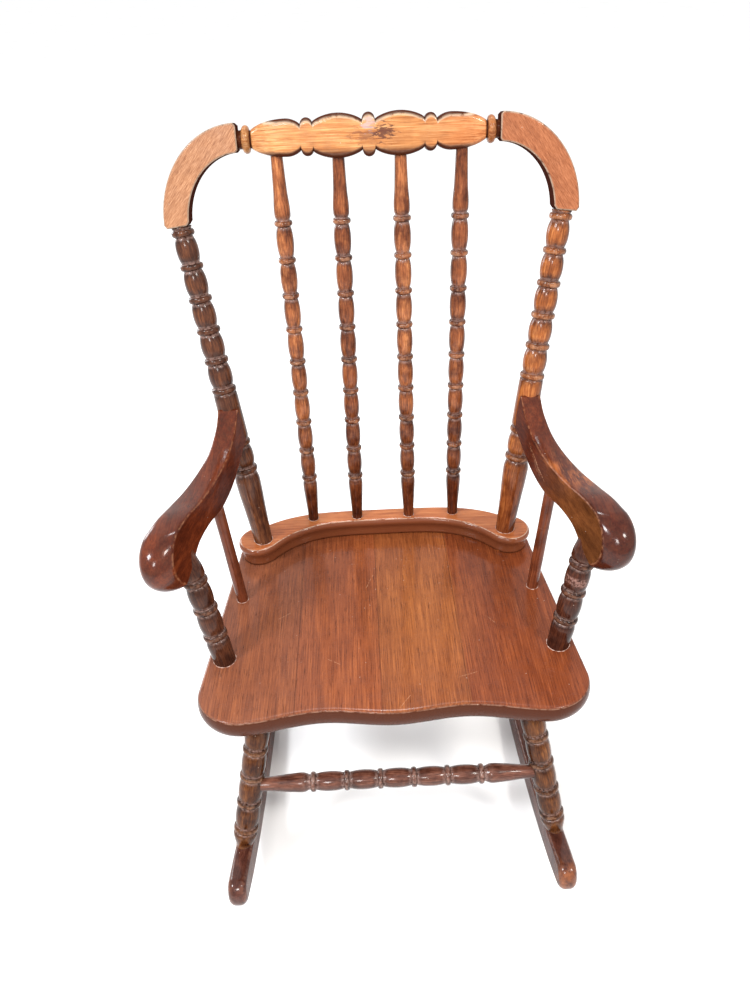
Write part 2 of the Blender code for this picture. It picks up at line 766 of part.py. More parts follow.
def build_chair():
    seat = build_seat()
    block = build_block()
    posts = build_posts(seat, block)
    rail = build_crest()
    build_corners()
    build_spindles(block, rail)
    build_arms(posts, seat)
    legs = build_rockers_and_legs(seat)
    brown = (0.16, 0.06, 0.04)
    build_stretcher("front_stretcher", legs, "front", STRETCHER_HEIGHT, front_stretcher_profile, brown)
    build_stretcher("rear_stretcher", legs, "rear", STRETCHER_HEIGHT, rear_stretcher_profile, brown)
    build_block_screws(seat, block)


build_chair()
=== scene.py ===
import math

import bpy
import numpy as np
from mathutils import Matrix, Vector


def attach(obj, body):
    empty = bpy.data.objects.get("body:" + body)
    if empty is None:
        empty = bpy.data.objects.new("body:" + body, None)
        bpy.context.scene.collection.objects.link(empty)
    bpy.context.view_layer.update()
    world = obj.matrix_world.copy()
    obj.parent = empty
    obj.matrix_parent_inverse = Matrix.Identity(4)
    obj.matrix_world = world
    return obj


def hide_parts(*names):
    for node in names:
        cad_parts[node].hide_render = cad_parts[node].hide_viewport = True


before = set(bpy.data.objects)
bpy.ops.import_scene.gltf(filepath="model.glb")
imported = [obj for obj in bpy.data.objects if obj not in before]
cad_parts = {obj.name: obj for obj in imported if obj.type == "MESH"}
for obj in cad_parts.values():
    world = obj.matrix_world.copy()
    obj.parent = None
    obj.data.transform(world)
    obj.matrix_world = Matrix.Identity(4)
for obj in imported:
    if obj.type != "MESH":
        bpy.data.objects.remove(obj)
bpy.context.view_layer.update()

# ---- The chair's dimensions in metres, measured from its own origin

CHAIR_SHIFT = Vector((0, 0.012, 0))  # from the chair's own origin to the middle of its footprint
GAP = 0.0003
SIDES = ((-1, "left"), (1, "right"))

SEAT_TOP_Z = 0.2379
SEAT_TILT = math.radians(1.9)
SEAT_THICKNESS = 0.024
SEAT_HALF_WIDTH = 0.1970
SEAT_WIDEST_Y = -0.180
SEAT_CORNER_X = 0.150
SEAT_REAR_RADIUS = 0.0275
SEAT_SEAMS = (-0.0980, -0.0125, 0.0735)  # where the seat's glued planks meet

BLOCK_HEIGHT = 0.024
BLOCK_LOBE = Vector((0.151, 0.029))
BLOCK_LOBE_RADIUS = 0.0245
BLOCK_REAR_Y = 0.0795
BLOCK_FRONT_Y = 0.053

BACK_FOOT = Vector((0, 0.0272, 0.2591))
BACK_RECLINE = math.radians(12.13)
POST_FOOT_X = 0.145
POST_LEAN = math.radians(7.08)
POST_LENGTH = 0.3625
POST_RING_PITCH = 0.0328
POST_FOOT_DEPTH = 0.036
POST_FOOT_RADIUS = 0.0108
SPINDLE_FEET = (0.0861, 0.0318)
SPINDLE_TOPS = (0.0894, 0.0300)
SPINDLE_FOOT_Y = 0.064
SPINDLE_FOOT_DEPTH = 0.016
SPINDLE_FOOT_RADIUS = 0.0061
SPINDLE_TOP_DEPTH = 0.010
SPINDLE_RING_PITCH = 0.0364

CREST_HEIGHT = 0.4345
CREST_FLAT_HALF = 0.111
CREST_KNOB = 0.0062  # half the middle knob, then the ends of the lobe, the bead and the shoulder
CREST_LOBE_END = 0.0528
CREST_BEAD_X = 0.0587
CREST_BEAD_RADIUS = 0.0059
CREST_BEAD_END = 0.0646
CREST_SHOULDER_END = 0.0780
CORNER_THICKNESS = 0.022
CORNER_END_X = 0.1245
CORNER_OUTER = (0.0798, 0.0895)
CORNER_INNER = (0.0550, 0.0638)

ARM_REAR_Y = 0.052
ARM_INNER_X = 0.1526
ARM_OUTER_X = 0.1745
ARM_PLAN_Y = 0.045
ARM_INNER_FLARE = 0.2324
ARM_OUTER_FLARE = 0.298
ARM_LEAN = 0.12
ARM_LEAN_Z = 0.400
ARM_NOSE_BULGE = 0.009
ARM_POST = (Vector((0.174, -0.139, 0.2424)), Vector((0.1962, -0.1138, 0.3700)))
ARM_POST_FOOT_RADIUS = 0.0115
ARM_POST_RING_PITCH = 0.0330
ARM_DOWEL = (Vector((0.165, -0.050, 0.2395)), Vector((0.1795, -0.0235, 0.3660)))
ARM_DOWEL_RADIUS = 0.0063
ARM_SOCKET_DEPTH = 0.012

ROCKER_RADIUS = 0.800
ROCKER_LOW_Y = -0.0335
ROCKER_HEIGHT = 0.032
ROCKER_THICKNESS = 0.019
ROCKER_FRONT_Y = -0.3038
ROCKER_REAR_Y = 0.280
ROCKER_X = 0.1625
ROCKER_TOE_OUT = math.radians(1.4)

LEG_TOP_X = 0.1360
FRONT_LEG_TOP_Y = -0.1750
FRONT_LEG_FOOT_Y = -0.2415
REAR_LEG_TOP_X = 0.1300
REAR_LEG_TOP_Y = -0.0080
REAR_LEG_FOOT_Y = 0.0720
LEG_RADIUS = 0.0127  # where the stretcher's tenon enters
LEG_RING_PITCH = 0.0321
STRETCHER_HEIGHT = 0.0738
STRETCHER_RING_PITCH = 0.0355
STRETCHER_TENON_DEPTH = 0.007
STRETCHER_END_RADIUS = 0.0072

SCREW_HEAD = 0.0040
SCREW_SHANK = 0.0019

# ---- Camera

CAMERA_PLACE = Vector((-0.0143, -0.6471, 0.8497))
CAMERA_RIGHT = Vector((0.9988849, -0.03329504, -0.03347242))
CAMERA_UP = Vector((0.04687429, 0.61476725, 0.78731444))
CAMERA_LENS = 27.036


def add_camera():
    data = bpy.data.cameras.new("view")
    data.sensor_width = 36.0
    data.sensor_fit = "AUTO"
    data.lens = CAMERA_LENS
    data.clip_start = 0.01
    camera = bpy.data.objects.new("view", data)
    bpy.context.scene.collection.objects.link(camera)
    back = CAMERA_RIGHT.cross(CAMERA_UP).normalized()
    turn = Matrix((CAMERA_RIGHT, CAMERA_UP, back)).transposed()
    camera.matrix_world = Matrix.Translation(CAMERA_PLACE) @ turn.to_4x4()
    bpy.context.scene.camera = camera


# ---- Small geometry helpers


def spread(low, high, steps):
    return [low + (high - low) * step / steps for step in range(steps + 1)]


def turns(start, end, steps):
    """Angles in radians, spread from start to end in degrees."""
    return [math.radians(angle) for angle in spread(start, end, steps)]


def unit(value):
    return min(1.0, max(0.0, value))


def arc(centre, radii, start, end, steps):
    """Points on an ellipse from one angle to another, in degrees from +x towards +y."""
    return [
        (centre[0] + radii[0] * math.cos(a), centre[1] + radii[1] * math.sin(a))
        for a in turns(start, end, steps)
    ]


def around(sides):
    """Even angles round a full turn, in radians."""
    return [2 * math.pi * side / sides for side in range(sides)]


def mirrored(half):
    """A closed outline from its half at x >= 0, which starts and ends on the centre line."""
    return half + [(-x, y) for x, y in reversed(half[1:-1])]


def on_side(side, points):
    """The points of the right half of the chair, or of the left half where side is -1."""
    return [point * Vector((side, 1, 1)) for point in points]


def along(start, end):
    """The frame whose origin is start and whose Z axis runs towards end."""
    turn = (end - start).to_track_quat("Z", "Y")
    return Matrix.Translation(start) @ turn.to_matrix().to_4x4()


def smooth_run(points, step=0.0016):
    """A curve without overshoot through (height, radius) points, as more points."""
    heights, radii = np.array(points).T
    widths = np.diff(heights)
    slopes = np.diff(radii) / widths
    ends = np.concatenate([slopes[:1], slopes, slopes[-1:]])
    before, after = ends[:-1], ends[1:]
    same_way = before * after > 0
    total = np.where(same_way, before + after, 1.0)
    tangents = np.where(same_way, 2 * before * after / total, 0.0)
    found = []
    for index, width in enumerate(widths):
        for t in spread(0, 1, max(1, int(round(width / step))))[:-1]:
            radius = radii[index] * (2 * t**3 - 3 * t**2 + 1) + radii[index + 1] * (3 * t**2 - 2 * t**3)
            bend = tangents[index] * (t**3 - 2 * t**2 + t) + tangents[index + 1] * (t**3 - t**2)
            found.append((heights[index] + t * width, radius + bend * width))
    return found + [(heights[-1], radii[-1])]


def between(first, second, spacing):
    """Even points strictly between two, no further apart than spacing."""
    steps = math.ceil(math.dist(first, second) / spacing)
    return [tuple(a + (b - a) * t for a, b in zip(first, second)) for t in spread(0, 1, steps)[1:-1]]


def curve_through(points, steps=6):
    """An open smooth curve that passes through each point."""
    ends = [points[0], *points, points[-1]]
    found = []
    for near in zip(ends, ends[1:], ends[2:], ends[3:]):
        for t in spread(0, 1, steps)[:-1]:
            shares = (-t + 2 * t**2 - t**3, 2 - 5 * t**2 + 3 * t**3, t + 4 * t**2 - 3 * t**3, t**3 - t**2)
            found.append(tuple(sum(s * v for s, v in zip(shares, axis)) / 2 for axis in zip(*near)))
    return found + [tuple(points[-1])]


def add_piece(name, verts, faces, place, material, node, marks=None, flat=()):
    """A mesh object in the chair's place, riding on the chair, in place of a CAD node."""
    mesh = bpy.data.meshes.new(name)
    mesh.from_pydata([tuple(vert) for vert in verts], [], faces)
    mesh.polygons.foreach_set("use_smooth", [index not in flat for index in range(len(faces))])
    for key, values in (marks or {}).items():
        attribute = mesh.attributes.new(key, "FLOAT", "POINT")
        attribute.data.foreach_set("value", np.asarray(values, np.float32))
    mesh.materials.append(material)
    mesh.update()
    obj = bpy.data.objects.new(name, mesh)
    bpy.context.scene.collection.objects.link(obj)
    obj.matrix_world = Matrix.Translation(CHAIR_SHIFT) @ place
    bpy.context.view_layer.update()
    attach(obj, "root")
    if node:
        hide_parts(node)


def tube_faces(rings, sides, first=0):
    """Quads between consecutive rings of the same number of points."""
    faces = []
    for low in range(first, first + (rings - 1) * sides, sides):
        for side in range(sides):
            after = (side + 1) % sides
            faces.append((low + side, low + after, low + sides + after, low + sides + side))
    return faces


def board_faces(rings, sides, first=0):
    """The walls between the rings, then a face on the first ring and one on the last."""
    ring = range(first, first + sides)
    last = (rings - 1) * sides
    return tube_faces(rings, sides, first) + [tuple(ring)[::-1], tuple(index + last for index in ring)]


def turned_over(faces):
    return [face[::-1] for face in faces]


def end_fans(count, sides):
    """Triangles from two added centres, number count and the next, to a tube's first and last ring."""
    faces = []
    last = count - sides
    for side in range(sides):
        after = (side + 1) % sides
        faces += [(count, after, side), (count + 1, last + side, last + after)]
    return faces


# ---- Turned pieces


def spool(rings, ring_radius, width, ring_drop, swell_drop, end_drop):
    """Beads at the given distances with barrel-shaped bobbins between them."""
    found = []
    half = width / 2
    lip = 0.0004
    for index, place in enumerate(rings):
        radius = ring_radius(place)
        if index:
            low, high = rings[index - 1] + half + lip, place - half - lip
            for share in spread(0, 1, 16):
                height = low + (high - low) * share
                swell = 1 - abs(2 * share - 1) ** 2.3
                found.append((height, ring_radius(height) - end_drop + (end_drop - swell_drop) * swell))
        groove = radius - ring_drop - lip
        found.append((place - half - lip / 2, groove))
        for a in turns(-82, 82, 10):
            found.append((place + half * math.sin(a), radius - ring_drop * (1 - math.cos(a) ** 0.7)))
        found.append((place + half + lip / 2, groove))
    return found


def relief(profile):
    """How far each point of a profile stands above its surroundings, as wear and groove marks."""
    heights, radii = np.array(profile).T
    offsets = np.linspace(-0.0035, 0.0035, 9)
    around = np.mean([np.interp(heights + offset, heights, radii) for offset in offsets], axis=0)
    height = radii - around
    return np.clip(height / 0.0009, 0, 1), np.clip(-height / 0.0008, 0, 1)


def near_grooves(profile, groove):
    """How close each point of a profile lies to a groove, from 0 to 1."""
    heights = np.array(profile)[:, 0]
    deep = heights[groove > 0.6]
    if not len(deep):
        return np.zeros(len(heights))
    return np.clip(1 - np.abs(heights[:, None] - deep).min(axis=1) / 0.0065, 0, 1)


def turned(name, profile, start, end, material, slot, sides=44, kind="turning"):
    """A turned piece. profile lists (distance from start, radius) upwards."""
    angles = around(sides)
    verts = [(r * math.cos(a), r * math.sin(a), s) for s, r in profile for a in angles]
    wear, groove = relief(profile)
    # band and front only steer painted shade: next to the grooves and on the sides turned from the front
    rows = {"wear": wear, "groove": groove, "band": near_grooves(profile, groove)}
    marks = {key: np.repeat(row, sides) for key, row in rows.items()}
    marks["front"] = np.tile([math.sin(a) for a in angles], len(profile))
    marks = {key: np.append(values, (0.0, 0.0)) for key, values in marks.items()}
    faces = tube_faces(len(profile), sides)
    walls = len(faces)
    faces += end_fans(len(verts), sides)
    verts += [(0, 0, profile[0][0]), (0, 0, profile[-1][0])]
    flat = range(walls, len(faces))
    add_piece(f"{name}_{kind}", verts, faces, along(start, end), material, name, marks, flat)


# ---- Sawn pieces


def inward_offsets(outline):
    """For each point of an anticlockwise outline, the inward step that moves both its edges by 1."""
    points = np.array(outline, float)
    ahead = np.roll(points, -1, axis=0) - points
    ahead /= np.linalg.norm(ahead, axis=1, keepdims=True)
    behind = np.roll(ahead, 1, axis=0)
    normal_ahead = np.stack([-ahead[:, 1], ahead[:, 0]], axis=1)
    normal_behind = np.stack([-behind[:, 1], behind[:, 0]], axis=1)
    both = normal_ahead + normal_behind
    length = np.linalg.norm(both, axis=1, keepdims=True)
    both /= np.maximum(length, 1e-9)
    mitre = np.clip(1 / np.maximum(length[:, 0] / 2, 0.35), 1, 2.2)
    return both * mitre[:, None]


def anticlockwise(outline):
    area = 0.0
    for first, second in zip(outline, outline[1:] + outline[:1]):
        area += first[0] * second[1] - second[0] * first[1]
    return outline if area > 0 else outline[::-1]


def round_levels(radius, low, high, steps):
    """Both rounded arrises of a board's edge, from low up to high, as plate's levels."""
    return [
        (radius * (1 - math.cos(a)), end + way * radius * (1 - math.sin(a)), math.cos(a))
        for end, way, angles in ((low, 1, turns(90, 0, steps)), (high, -1, turns(0, 90, steps)))
        for a in angles
    ]


def add_board(name, verts, faces, edge, place, material, peak=0.7, fall=2.2, wall=0.0):
    """A sawn piece with two flat faces, its last ones. Where the edge mark is at peak, arms and rockers are
    rubbed and the seat, block and corners get a painted highlight line.
    """
    # on the seat, block and corners this mark is a painted highlight line along the arris
    wear = [max(0.0, 1 - abs(mark - peak) * fall) if mark < 0.999 else wall for mark in edge]
    marks = {"edge": edge, "wear": wear}
    flat = range(len(faces) - 2, len(faces))
    add_piece(name + "_board", verts, faces, place, material, name, marks, flat)


def plate(name, outline, levels, place, material):
    """A board with walls through (inset, height, edge mark). Insets and heights may be arrays."""
    outline = anticlockwise(outline)
    count = len(outline)
    steps = inward_offsets(outline)
    verts, edge = [], []
    for inset, height, mark in levels:
        ring = np.array(outline) + steps * np.broadcast_to(inset, count)[:, None]
        verts += np.column_stack((ring, np.broadcast_to(height, count))).tolist()
        edge += [mark] * count
    add_board(name, verts, board_faces(len(levels), count), edge, place, material)


# ---- Frames and axes of the chair

SEAT_FRAME = Matrix.Translation((0, 0, SEAT_TOP_Z)) @ Matrix.Rotation(-SEAT_TILT, 4, "X")
BACK_UP = Vector((0, math.sin(BACK_RECLINE), math.cos(BACK_RECLINE)))
BACK_FRONT = Vector((1, 0, 0)).cross(BACK_UP)
BACK_TURN = Matrix((Vector((1, 0, 0)), BACK_UP, BACK_FRONT)).transposed()
BACK_FRAME = Matrix.Translation(BACK_FOOT) @ BACK_TURN.to_4x4()


def on_seat(x, y, height=0.0):
    return SEAT_FRAME @ Vector((x, y, height))


def on_back(x, height):
    return BACK_FRAME @ Vector((x, height, 0))


def seat_front_y(x):
    wave = x / 0.148
    return -0.2158 - 0.0036 * math.cos(2 * math.pi * wave) - 0.0045 * wave**2


def block_rear_y(x):
    return BLOCK_REAR_Y - 0.0195 * (x / 0.1386) ** 4


def block_front_y(x):
    return BLOCK_FRONT_Y - 0.010 * (x / 0.093) ** 4


def post_axis(side):
    foot = on_back(side * POST_FOOT_X, 0)
    rise = Vector((side * math.sin(POST_LEAN), math.cos(POST_LEAN)))
    top = on_back(side * POST_FOOT_X + rise.x * POST_LENGTH, rise.y * POST_LENGTH)
    return foot, top


def rocker_x(y):
    return ROCKER_X - math.tan(ROCKER_TOE_OUT) * y


def rocker_top_z(y):
    inner = ROCKER_RADIUS - ROCKER_HEIGHT
    return ROCKER_RADIUS - math.sqrt(inner**2 - (y - ROCKER_LOW_Y) ** 2)


def leg_axis(side, top_x, top_y, foot_y):
    foot = Vector((side * rocker_x(foot_y), foot_y, rocker_top_z(foot_y)))
    return foot, on_seat(side * top_x, top_y, -SEAT_THICKNESS)


# ---- Materials

LIGHT_SHARE = 0.63


def stain(red, green, blue):
    """A wood's own colour, so that it shows as these display values under the stage's lights."""
    return (*(value * LIGHT_SHARE for value in srgb(red, green, blue)[:3]), 1.0)


def srgb(red, green, blue):
    """A linear colour from 0 to 255 display values."""
    found = []
    for value in (red, green, blue):
        value /= 255
        found.append(value / 12.92 if value <= 0.04045 else ((value + 0.055) / 1.055) ** 2.4)
    return (*found, 1.0)


class Shader:
    """A node material under construction."""

    def __init__(self, name):
        self.material = bpy.data.materials.new(name)
        self.material.use_nodes = True
        self.tree = self.material.node_tree
        self.principled = self.tree.nodes["Principled BSDF"]
        self.coords = self.node("ShaderNodeTexCoord").outputs["Object"]

    def feed(self, socket, value):
        if isinstance(value, bpy.types.NodeSocket):
            self.tree.links.new(value, socket)
        else:
            socket.default_value = value

    def put(self, name, value):
        self.feed(self.principled.inputs[name], value)

    def node(self, kind, inputs=None, **settings):
        node = self.tree.nodes.new(kind)
        for key, value in settings.items():
            setattr(node, key, value)
        for key, value in (inputs or {}).items():
            self.feed(node.inputs[key], value)
        return node

    def math(self, operation, *values, clamp=False):
        inputs = dict(enumerate(values))
        return self.node("ShaderNodeMath", inputs, operation=operation, use_clamp=clamp).outputs[0]

    def times(self, first, second):
        return self.math("MULTIPLY", first, second)

    def apart(self, first, second):
        """How far two values lie from each other."""
        return self.math("ABSOLUTE", self.math("SUBTRACT", first, second))

    def mix(self, factor, first, second, blend="MIX"):
        inputs = {0: factor, 6: first, 7: second}
        return self.node("ShaderNodeMix", inputs, data_type="RGBA", blend_type=blend).outputs[2]

    def remap(self, value, low, high, to_low=0.0, to_high=1.0):
        inputs = {"Value": value, "From Min": low, "From Max": high, "To Min": to_low, "To Max": to_high}
        return self.node("ShaderNodeMapRange", inputs, clamp=True).outputs[0]

    def ramp(self, value, stops, interpolation="LINEAR"):
        node = self.node("ShaderNodeValToRGB", {"Fac": value})
        ramp = node.color_ramp
        ramp.interpolation = interpolation
        while len(ramp.elements) < len(stops):
            ramp.elements.new(1.0)
        for element, (place, colour) in zip(ramp.elements, stops):
            element.position = place
            element.color = colour
        return node.outputs[0]

    def mapped(self, vector, scale=(1, 1, 1), shift=(0, 0, 0), turn=(0, 0, 0)):
        inputs = {"Vector": vector, "Scale": scale, "Location": shift, "Rotation": turn}
        return self.node("ShaderNodeMapping", inputs).outputs[0]

    def noise(self, vector, scale, detail=3.0, roughness=0.5, distortion=0.0):
        names = ("Vector", "Scale", "Detail", "Roughness", "Distortion")
        inputs = dict(zip(names, (vector, scale, detail, roughness, distortion)))
        return self.node("ShaderNodeTexNoise", inputs).outputs[0]

    def patches(self, vector, scale, low, high, detail=3.0, roughness=0.5):
        """Noise as a mask, from 0 where it is low to 1 where it is high."""
        return self.remap(self.noise(vector, scale, detail, roughness), low, high)

    def attribute(self, name):
        return self.node("ShaderNodeAttribute", attribute_name=name).outputs["Fac"]

    def bump(self, height, strength, distance, under=None):
        inputs = {"Height": height, "Strength": strength, "Distance": distance}
        if under is not None:
            inputs["Normal"] = under
        return self.node("ShaderNodeBump", inputs).outputs[0]


class Wood(Shader):
    """Stained and varnished wood. grain is the local axis that the fibres follow, 0, 1 or 2."""

    def __init__(self, name, look, grain=2, shift=(0, 0, 0), turn=(0, 0, 0), lean=0.0):
        super().__init__(name)
        self.look = look
        if lean:
            self.coords = self.mapped(self.coords, turn=(lean, 0, 0))
        self.placed = self.mapped(self.coords, shift=shift, turn=turn)
        self.grain = grain
        size = look["size"]
        self.fibre = self.noise(self.stretched(look["run"]), 620 * size, 5, 0.62)
        self.streak = self.noise(self.stretched(0.05), 150 * size, 4, 0.6, 0.4)
        figure = self.noise(self.stretched(0.22), 38 * size, 3, 0.5, 0.8)
        self.mottle = self.noise(self.placed, 60, 4, 0.6)
        parts = self.times(self.fibre, look["fibre"])
        parts = self.math("MULTIPLY_ADD", self.streak, look["streak"], parts)
        parts = self.math("MULTIPLY_ADD", figure, look["figure"], parts)
        self.tone = self.remap(parts, 0.5 - look["contrast"], 0.5 + look["contrast"])
        self.colour = self.ramp(self.tone, [(0.0, look["dark"]), (0.5, look["mid"]), (1.0, look["light"])])

    def stretched(self, share):
        scale = [1.0, 1.0, 1.0]
        scale[self.grain] = share
        return self.mapped(self.placed, scale=tuple(scale))

    def axis(self, index):
        return self.node("ShaderNodeSeparateXYZ", {"Vector": self.coords}).outputs[index]

    def tint(self, mask, colour, share=None):
        mask = mask if share is None else self.times(mask, share)
        self.colour = self.mix(mask, self.colour, colour)

    def shade(self, mask, colour, share=None):
        mask = mask if share is None else self.times(mask, share)
        self.colour = self.mix(mask, self.colour, colour, "MULTIPLY")

    def scratch(self, centre, heading, across, length, width, strength=0.8):
        """A thin pale line on the surface."""
        offset = self.node("ShaderNodeVectorMath", {0: self.coords, 1: centre}, operation="SUBTRACT")
        parts = []
        for direction in (heading, across):
            inputs = {0: offset.outputs[0], 1: Vector(direction).normalized()[:]}
            parts.append(self.node("ShaderNodeVectorMath", inputs, operation="DOT_PRODUCT").outputs["Value"])
        sway = self.math("MULTIPLY_ADD", self.noise(self.coords, 90, 2), 0.0016, -0.0008)
        side = self.math("ABSOLUTE", self.math("ADD", parts[1], sway))
        within = self.remap(self.math("ABSOLUTE", parts[0]), length / 2, length / 2.4)
        broken = self.patches(self.coords, 420, 0.38, 0.55, 2)
        mask = self.times(self.times(self.remap(side, width, width * 0.4), within), broken)
        self.tint(mask, stain(214, 158, 120), strength)

    def add_shading(self):
        """Pores, blotches and, on turned pieces, painted shade on their sides and by the grooves. Gives the
        pores' mask.
        """
        look = self.look
        pores = self.patches(self.stretched(0.04), 1500, 0.60, 0.70, 2)
        pores = self.times(pores, look["pores"])
        self.shade(pores, srgb(120, 96, 84))
        self.shade(self.remap(self.mottle, 0.40, 0.66), srgb(134, 104, 96), look["blotch"])
        if look["sides"]:
            # painted shade: darker on the sides turned away from the front
            away = self.remap(self.attribute("front"), 0.80, -0.10)
            self.shade(away, srgb(92, 66, 62), look["sides"])
            # painted shade in bands next to the grooves beside the rings
            band = self.times(self.attribute("band"), self.remap(self.mottle, 0.30, 0.55, 0.5, 1.0))
            self.shade(band, srgb(100, 72, 68), 0.8)
        return pores

    def add_edging(self):
        """Painted shade in the look's edge colour on the walls and rounded arrises, which also lose shine.
        Gives the share of the varnish's shine that stays, or None for all of it.
        """
        look = self.look
        edge = self.attribute("edge")
        if look["edge"]:
            ragged = self.noise(self.placed, 240, 3)
            # painted shade: the edge colour darkens walls and arrises
            mask = self.remap(self.math("MULTIPLY_ADD", ragged, 0.35, edge), 0.35, 0.75)
            mask = self.times(mask, look["edging"])
            self.tint(mask, look["edge"])
            return self.math("SUBTRACT", 1.0, self.times(mask, look["dull"]))
        return self.remap(edge, 0.0, 1.0, look["faces"], 1.0) if look["faces"] else None

    def add_wear(self):
        """Rubbed high places and painted highlight lines, pale residue in the grooves and specks of dust. Gives
        the first two masks.
        """
        look = self.look
        chip = look["chip"]
        # on the seat, block, crest and corners this tint is a painted highlight line
        chips = self.patches(self.placed, 190, chip, chip + 0.18, 5, 0.65)
        wear = self.times(self.times(self.attribute("wear"), chips), look["wear"])
        self.tint(wear, look["wear_and_highlight_colour"])
        lumps = self.patches(self.placed, 330, 0.34, 0.60, 4, 0.6)
        residue = self.times(self.times(self.attribute("groove"), lumps), look["residue"])
        self.tint(residue, stain(196, 158, 146))
        specks = self.node("ShaderNodeTexVoronoi", {"Vector": self.placed, "Scale": 150.0})
        near = self.remap(specks.outputs["Distance"], 0.075, 0.045)
        chosen = self.node("ShaderNodeSeparateColor", {"Color": specks.outputs["Color"]}).outputs[0]
        chosen = self.math("GREATER_THAN", chosen, 1 - look["specks"])
        self.tint(self.times(near, chosen), stain(222, 196, 178), 0.75)
        return wear, residue

    def finish(self):
        look = self.look
        pores = self.add_shading()
        shine = self.add_edging()
        wear, residue = self.add_wear()
        rough = self.math("MULTIPLY_ADD", self.remap(self.mottle, 0.3, 0.7), 0.12, look["gloss"] - 0.05)
        rough = self.math("MULTIPLY_ADD", residue, 0.40, rough)
        rough = self.math("MULTIPLY_ADD", wear, 0.15, rough, clamp=True)
        ridges = self.math("MULTIPLY_ADD", pores, -1.2, self.fibre)
        normal = self.bump(self.noise(self.placed, 85, 2, 0.5), 0.22, 0.0012)
        self.put("Normal", self.bump(ridges, 0.16, 0.00035, normal))
        self.put("Base Color", self.colour)
        self.put("Roughness", rough)
        for socket, level in (("Specular IOR Level", look["specular"]), ("Coat Weight", look["coat"])):
            self.put(socket, level if shine is None else self.times(shine, level))
        smear = self.remap(self.noise(self.placed, 32, 4, 0.6), 0.35, 0.7, 0.03, 0.15)
        self.put("Coat Roughness", smear)
        return self.material


PLAIN_WOOD = {
    "size": 1.0, "run": 0.035, "fibre": 0.34, "streak": 0.36, "figure": 0.30, "contrast": 0.13,
    "pores": 0.35, "blotch": 0.35, "sides": None, "edging": 0.8, "dull": 0.6, "faces": None,
    "chip": 0.42, "wear": 0.5, "residue": 0.5, "specks": 0.10, "gloss": 0.24, "specular": 0.18, "coat": 0.14,
}


def look_of(dark, mid, light, wear_and_highlight_colour, edge=None, **more):
    """A wood's colours, and the settings in which it differs from plain wood."""
    # edge is the colour of the painted shade on walls and arrises
    colours = {"dark": dark, "mid": mid, "light": light, "wear_and_highlight_colour": wear_and_highlight_colour, "edge": edge}
    stains = {key: colour and stain(*colour) for key, colour in colours.items()}
    return {**PLAIN_WOOD, **stains, **more}


# ---- Stage


def add_stage():
    mesh = bpy.data.meshes.new("floor")
    half = 40.0
    corners = [(-half, -half, 0), (half, -half, 0), (half, half, 0), (-half, half, 0)]
    mesh.from_pydata(corners, [], [(0, 1, 2, 3)])
    floor = bpy.data.objects.new("floor", mesh)
    bpy.context.scene.collection.objects.link(floor)
    shader = Shader("floor")
    grain = shader.patches(shader.coords, 6.0, 0.3, 0.7, 4)
    shader.put("Base Color", shader.mix(grain, (0.86, 0.86, 0.86, 1), (0.90, 0.90, 0.90, 1)))
    shader.put("Roughness", 0.9)
    shader.put("Specular IOR Level", 0.1)
    mesh.materials.append(shader.material)


def add_area(name, place, aim_height, size, power, colour):
    data = bpy.data.lights.new(name, "AREA")
    data.shape = "RECTANGLE"
    data.size, data.size_y = size
    data.energy = power
    data.color = colour
    light = bpy.data.objects.new(name, data)
    bpy.context.scene.collection.objects.link(light)
    turn = (Vector((0, 0, aim_height)) - Vector(place)).to_track_quat("-Z", "Y")
    light.matrix_world = Matrix.Translation(place) @ turn.to_matrix().to_4x4()


def add_lights():
    world = bpy.data.worlds.new("studio")
    world.use_nodes = True
    background = world.node_tree.nodes["Background"]
    background.inputs["Color"].default_value = (1.0, 1.0, 1.0, 1)
    background.inputs["Strength"].default_value = 1.14
    bpy.context.scene.world = world
    add_area("overhead", (0.0, 0.8, 2.3), 0.30, (0.40, 0.30), 14, (0.97, 0.98, 1.0))
    add_area("rim", (-1.6, 1.4, 0.80), 0.40, (0.60, 0.80), 17, (0.93, 0.96, 1.0))
    add_area("window", (-1.3, -0.9, 1.9), 0.35, (0.40, 0.45), 38, (0.95, 0.97, 1.0))
    add_area("warm_side", (1.1, -1.1, 2.0), 0.40, (0.34, 0.34), 25, (1.0, 0.96, 0.90))
    add_area("front", (-0.35, -1.7, 1.50), 0.40, (0.35, 0.35), 16, (1.0, 0.98, 0.96))


# ---- Looks of the woods

# In the looks, sides is the strength of the painted shade on the sides of a turned piece.
TURNING = {"size": 1.3, "run": 0.10, "fibre": 0.56, "figure": 0.08, "contrast": 0.15}
POST = {**TURNING, "run": 0.08, "fibre": 0.54, "figure": 0.10, "gloss": 0.20, "specular": 0.14}

# The fourth colour of the seat, block, crest and corners is a painted highlight line on their upper arrises;
# the fifth, edge colour is painted shade.
SEAT_LOOK = look_of(
    (102, 52, 29), (146, 82, 47), (186, 114, 66), (228, 178, 150), (80, 39, 22), edging=0.95,
    contrast=0.15, wear=0.42, chip=0.38, pores=0.8, blotch=0.12, specks=0.16,
    fibre=0.64, streak=0.18, figure=0.18, size=1.7, run=0.016,
)
BLOCK_LOOK = look_of(
    (146, 74, 38), (186, 106, 60), (216, 138, 84), (255, 222, 194), (124, 66, 41), edging=0.90,
    wear=0.62, chip=0.36, blotch=0.15, gloss=0.20, specks=0.05, dull=0.3, coat=0.26, size=1.4,
)
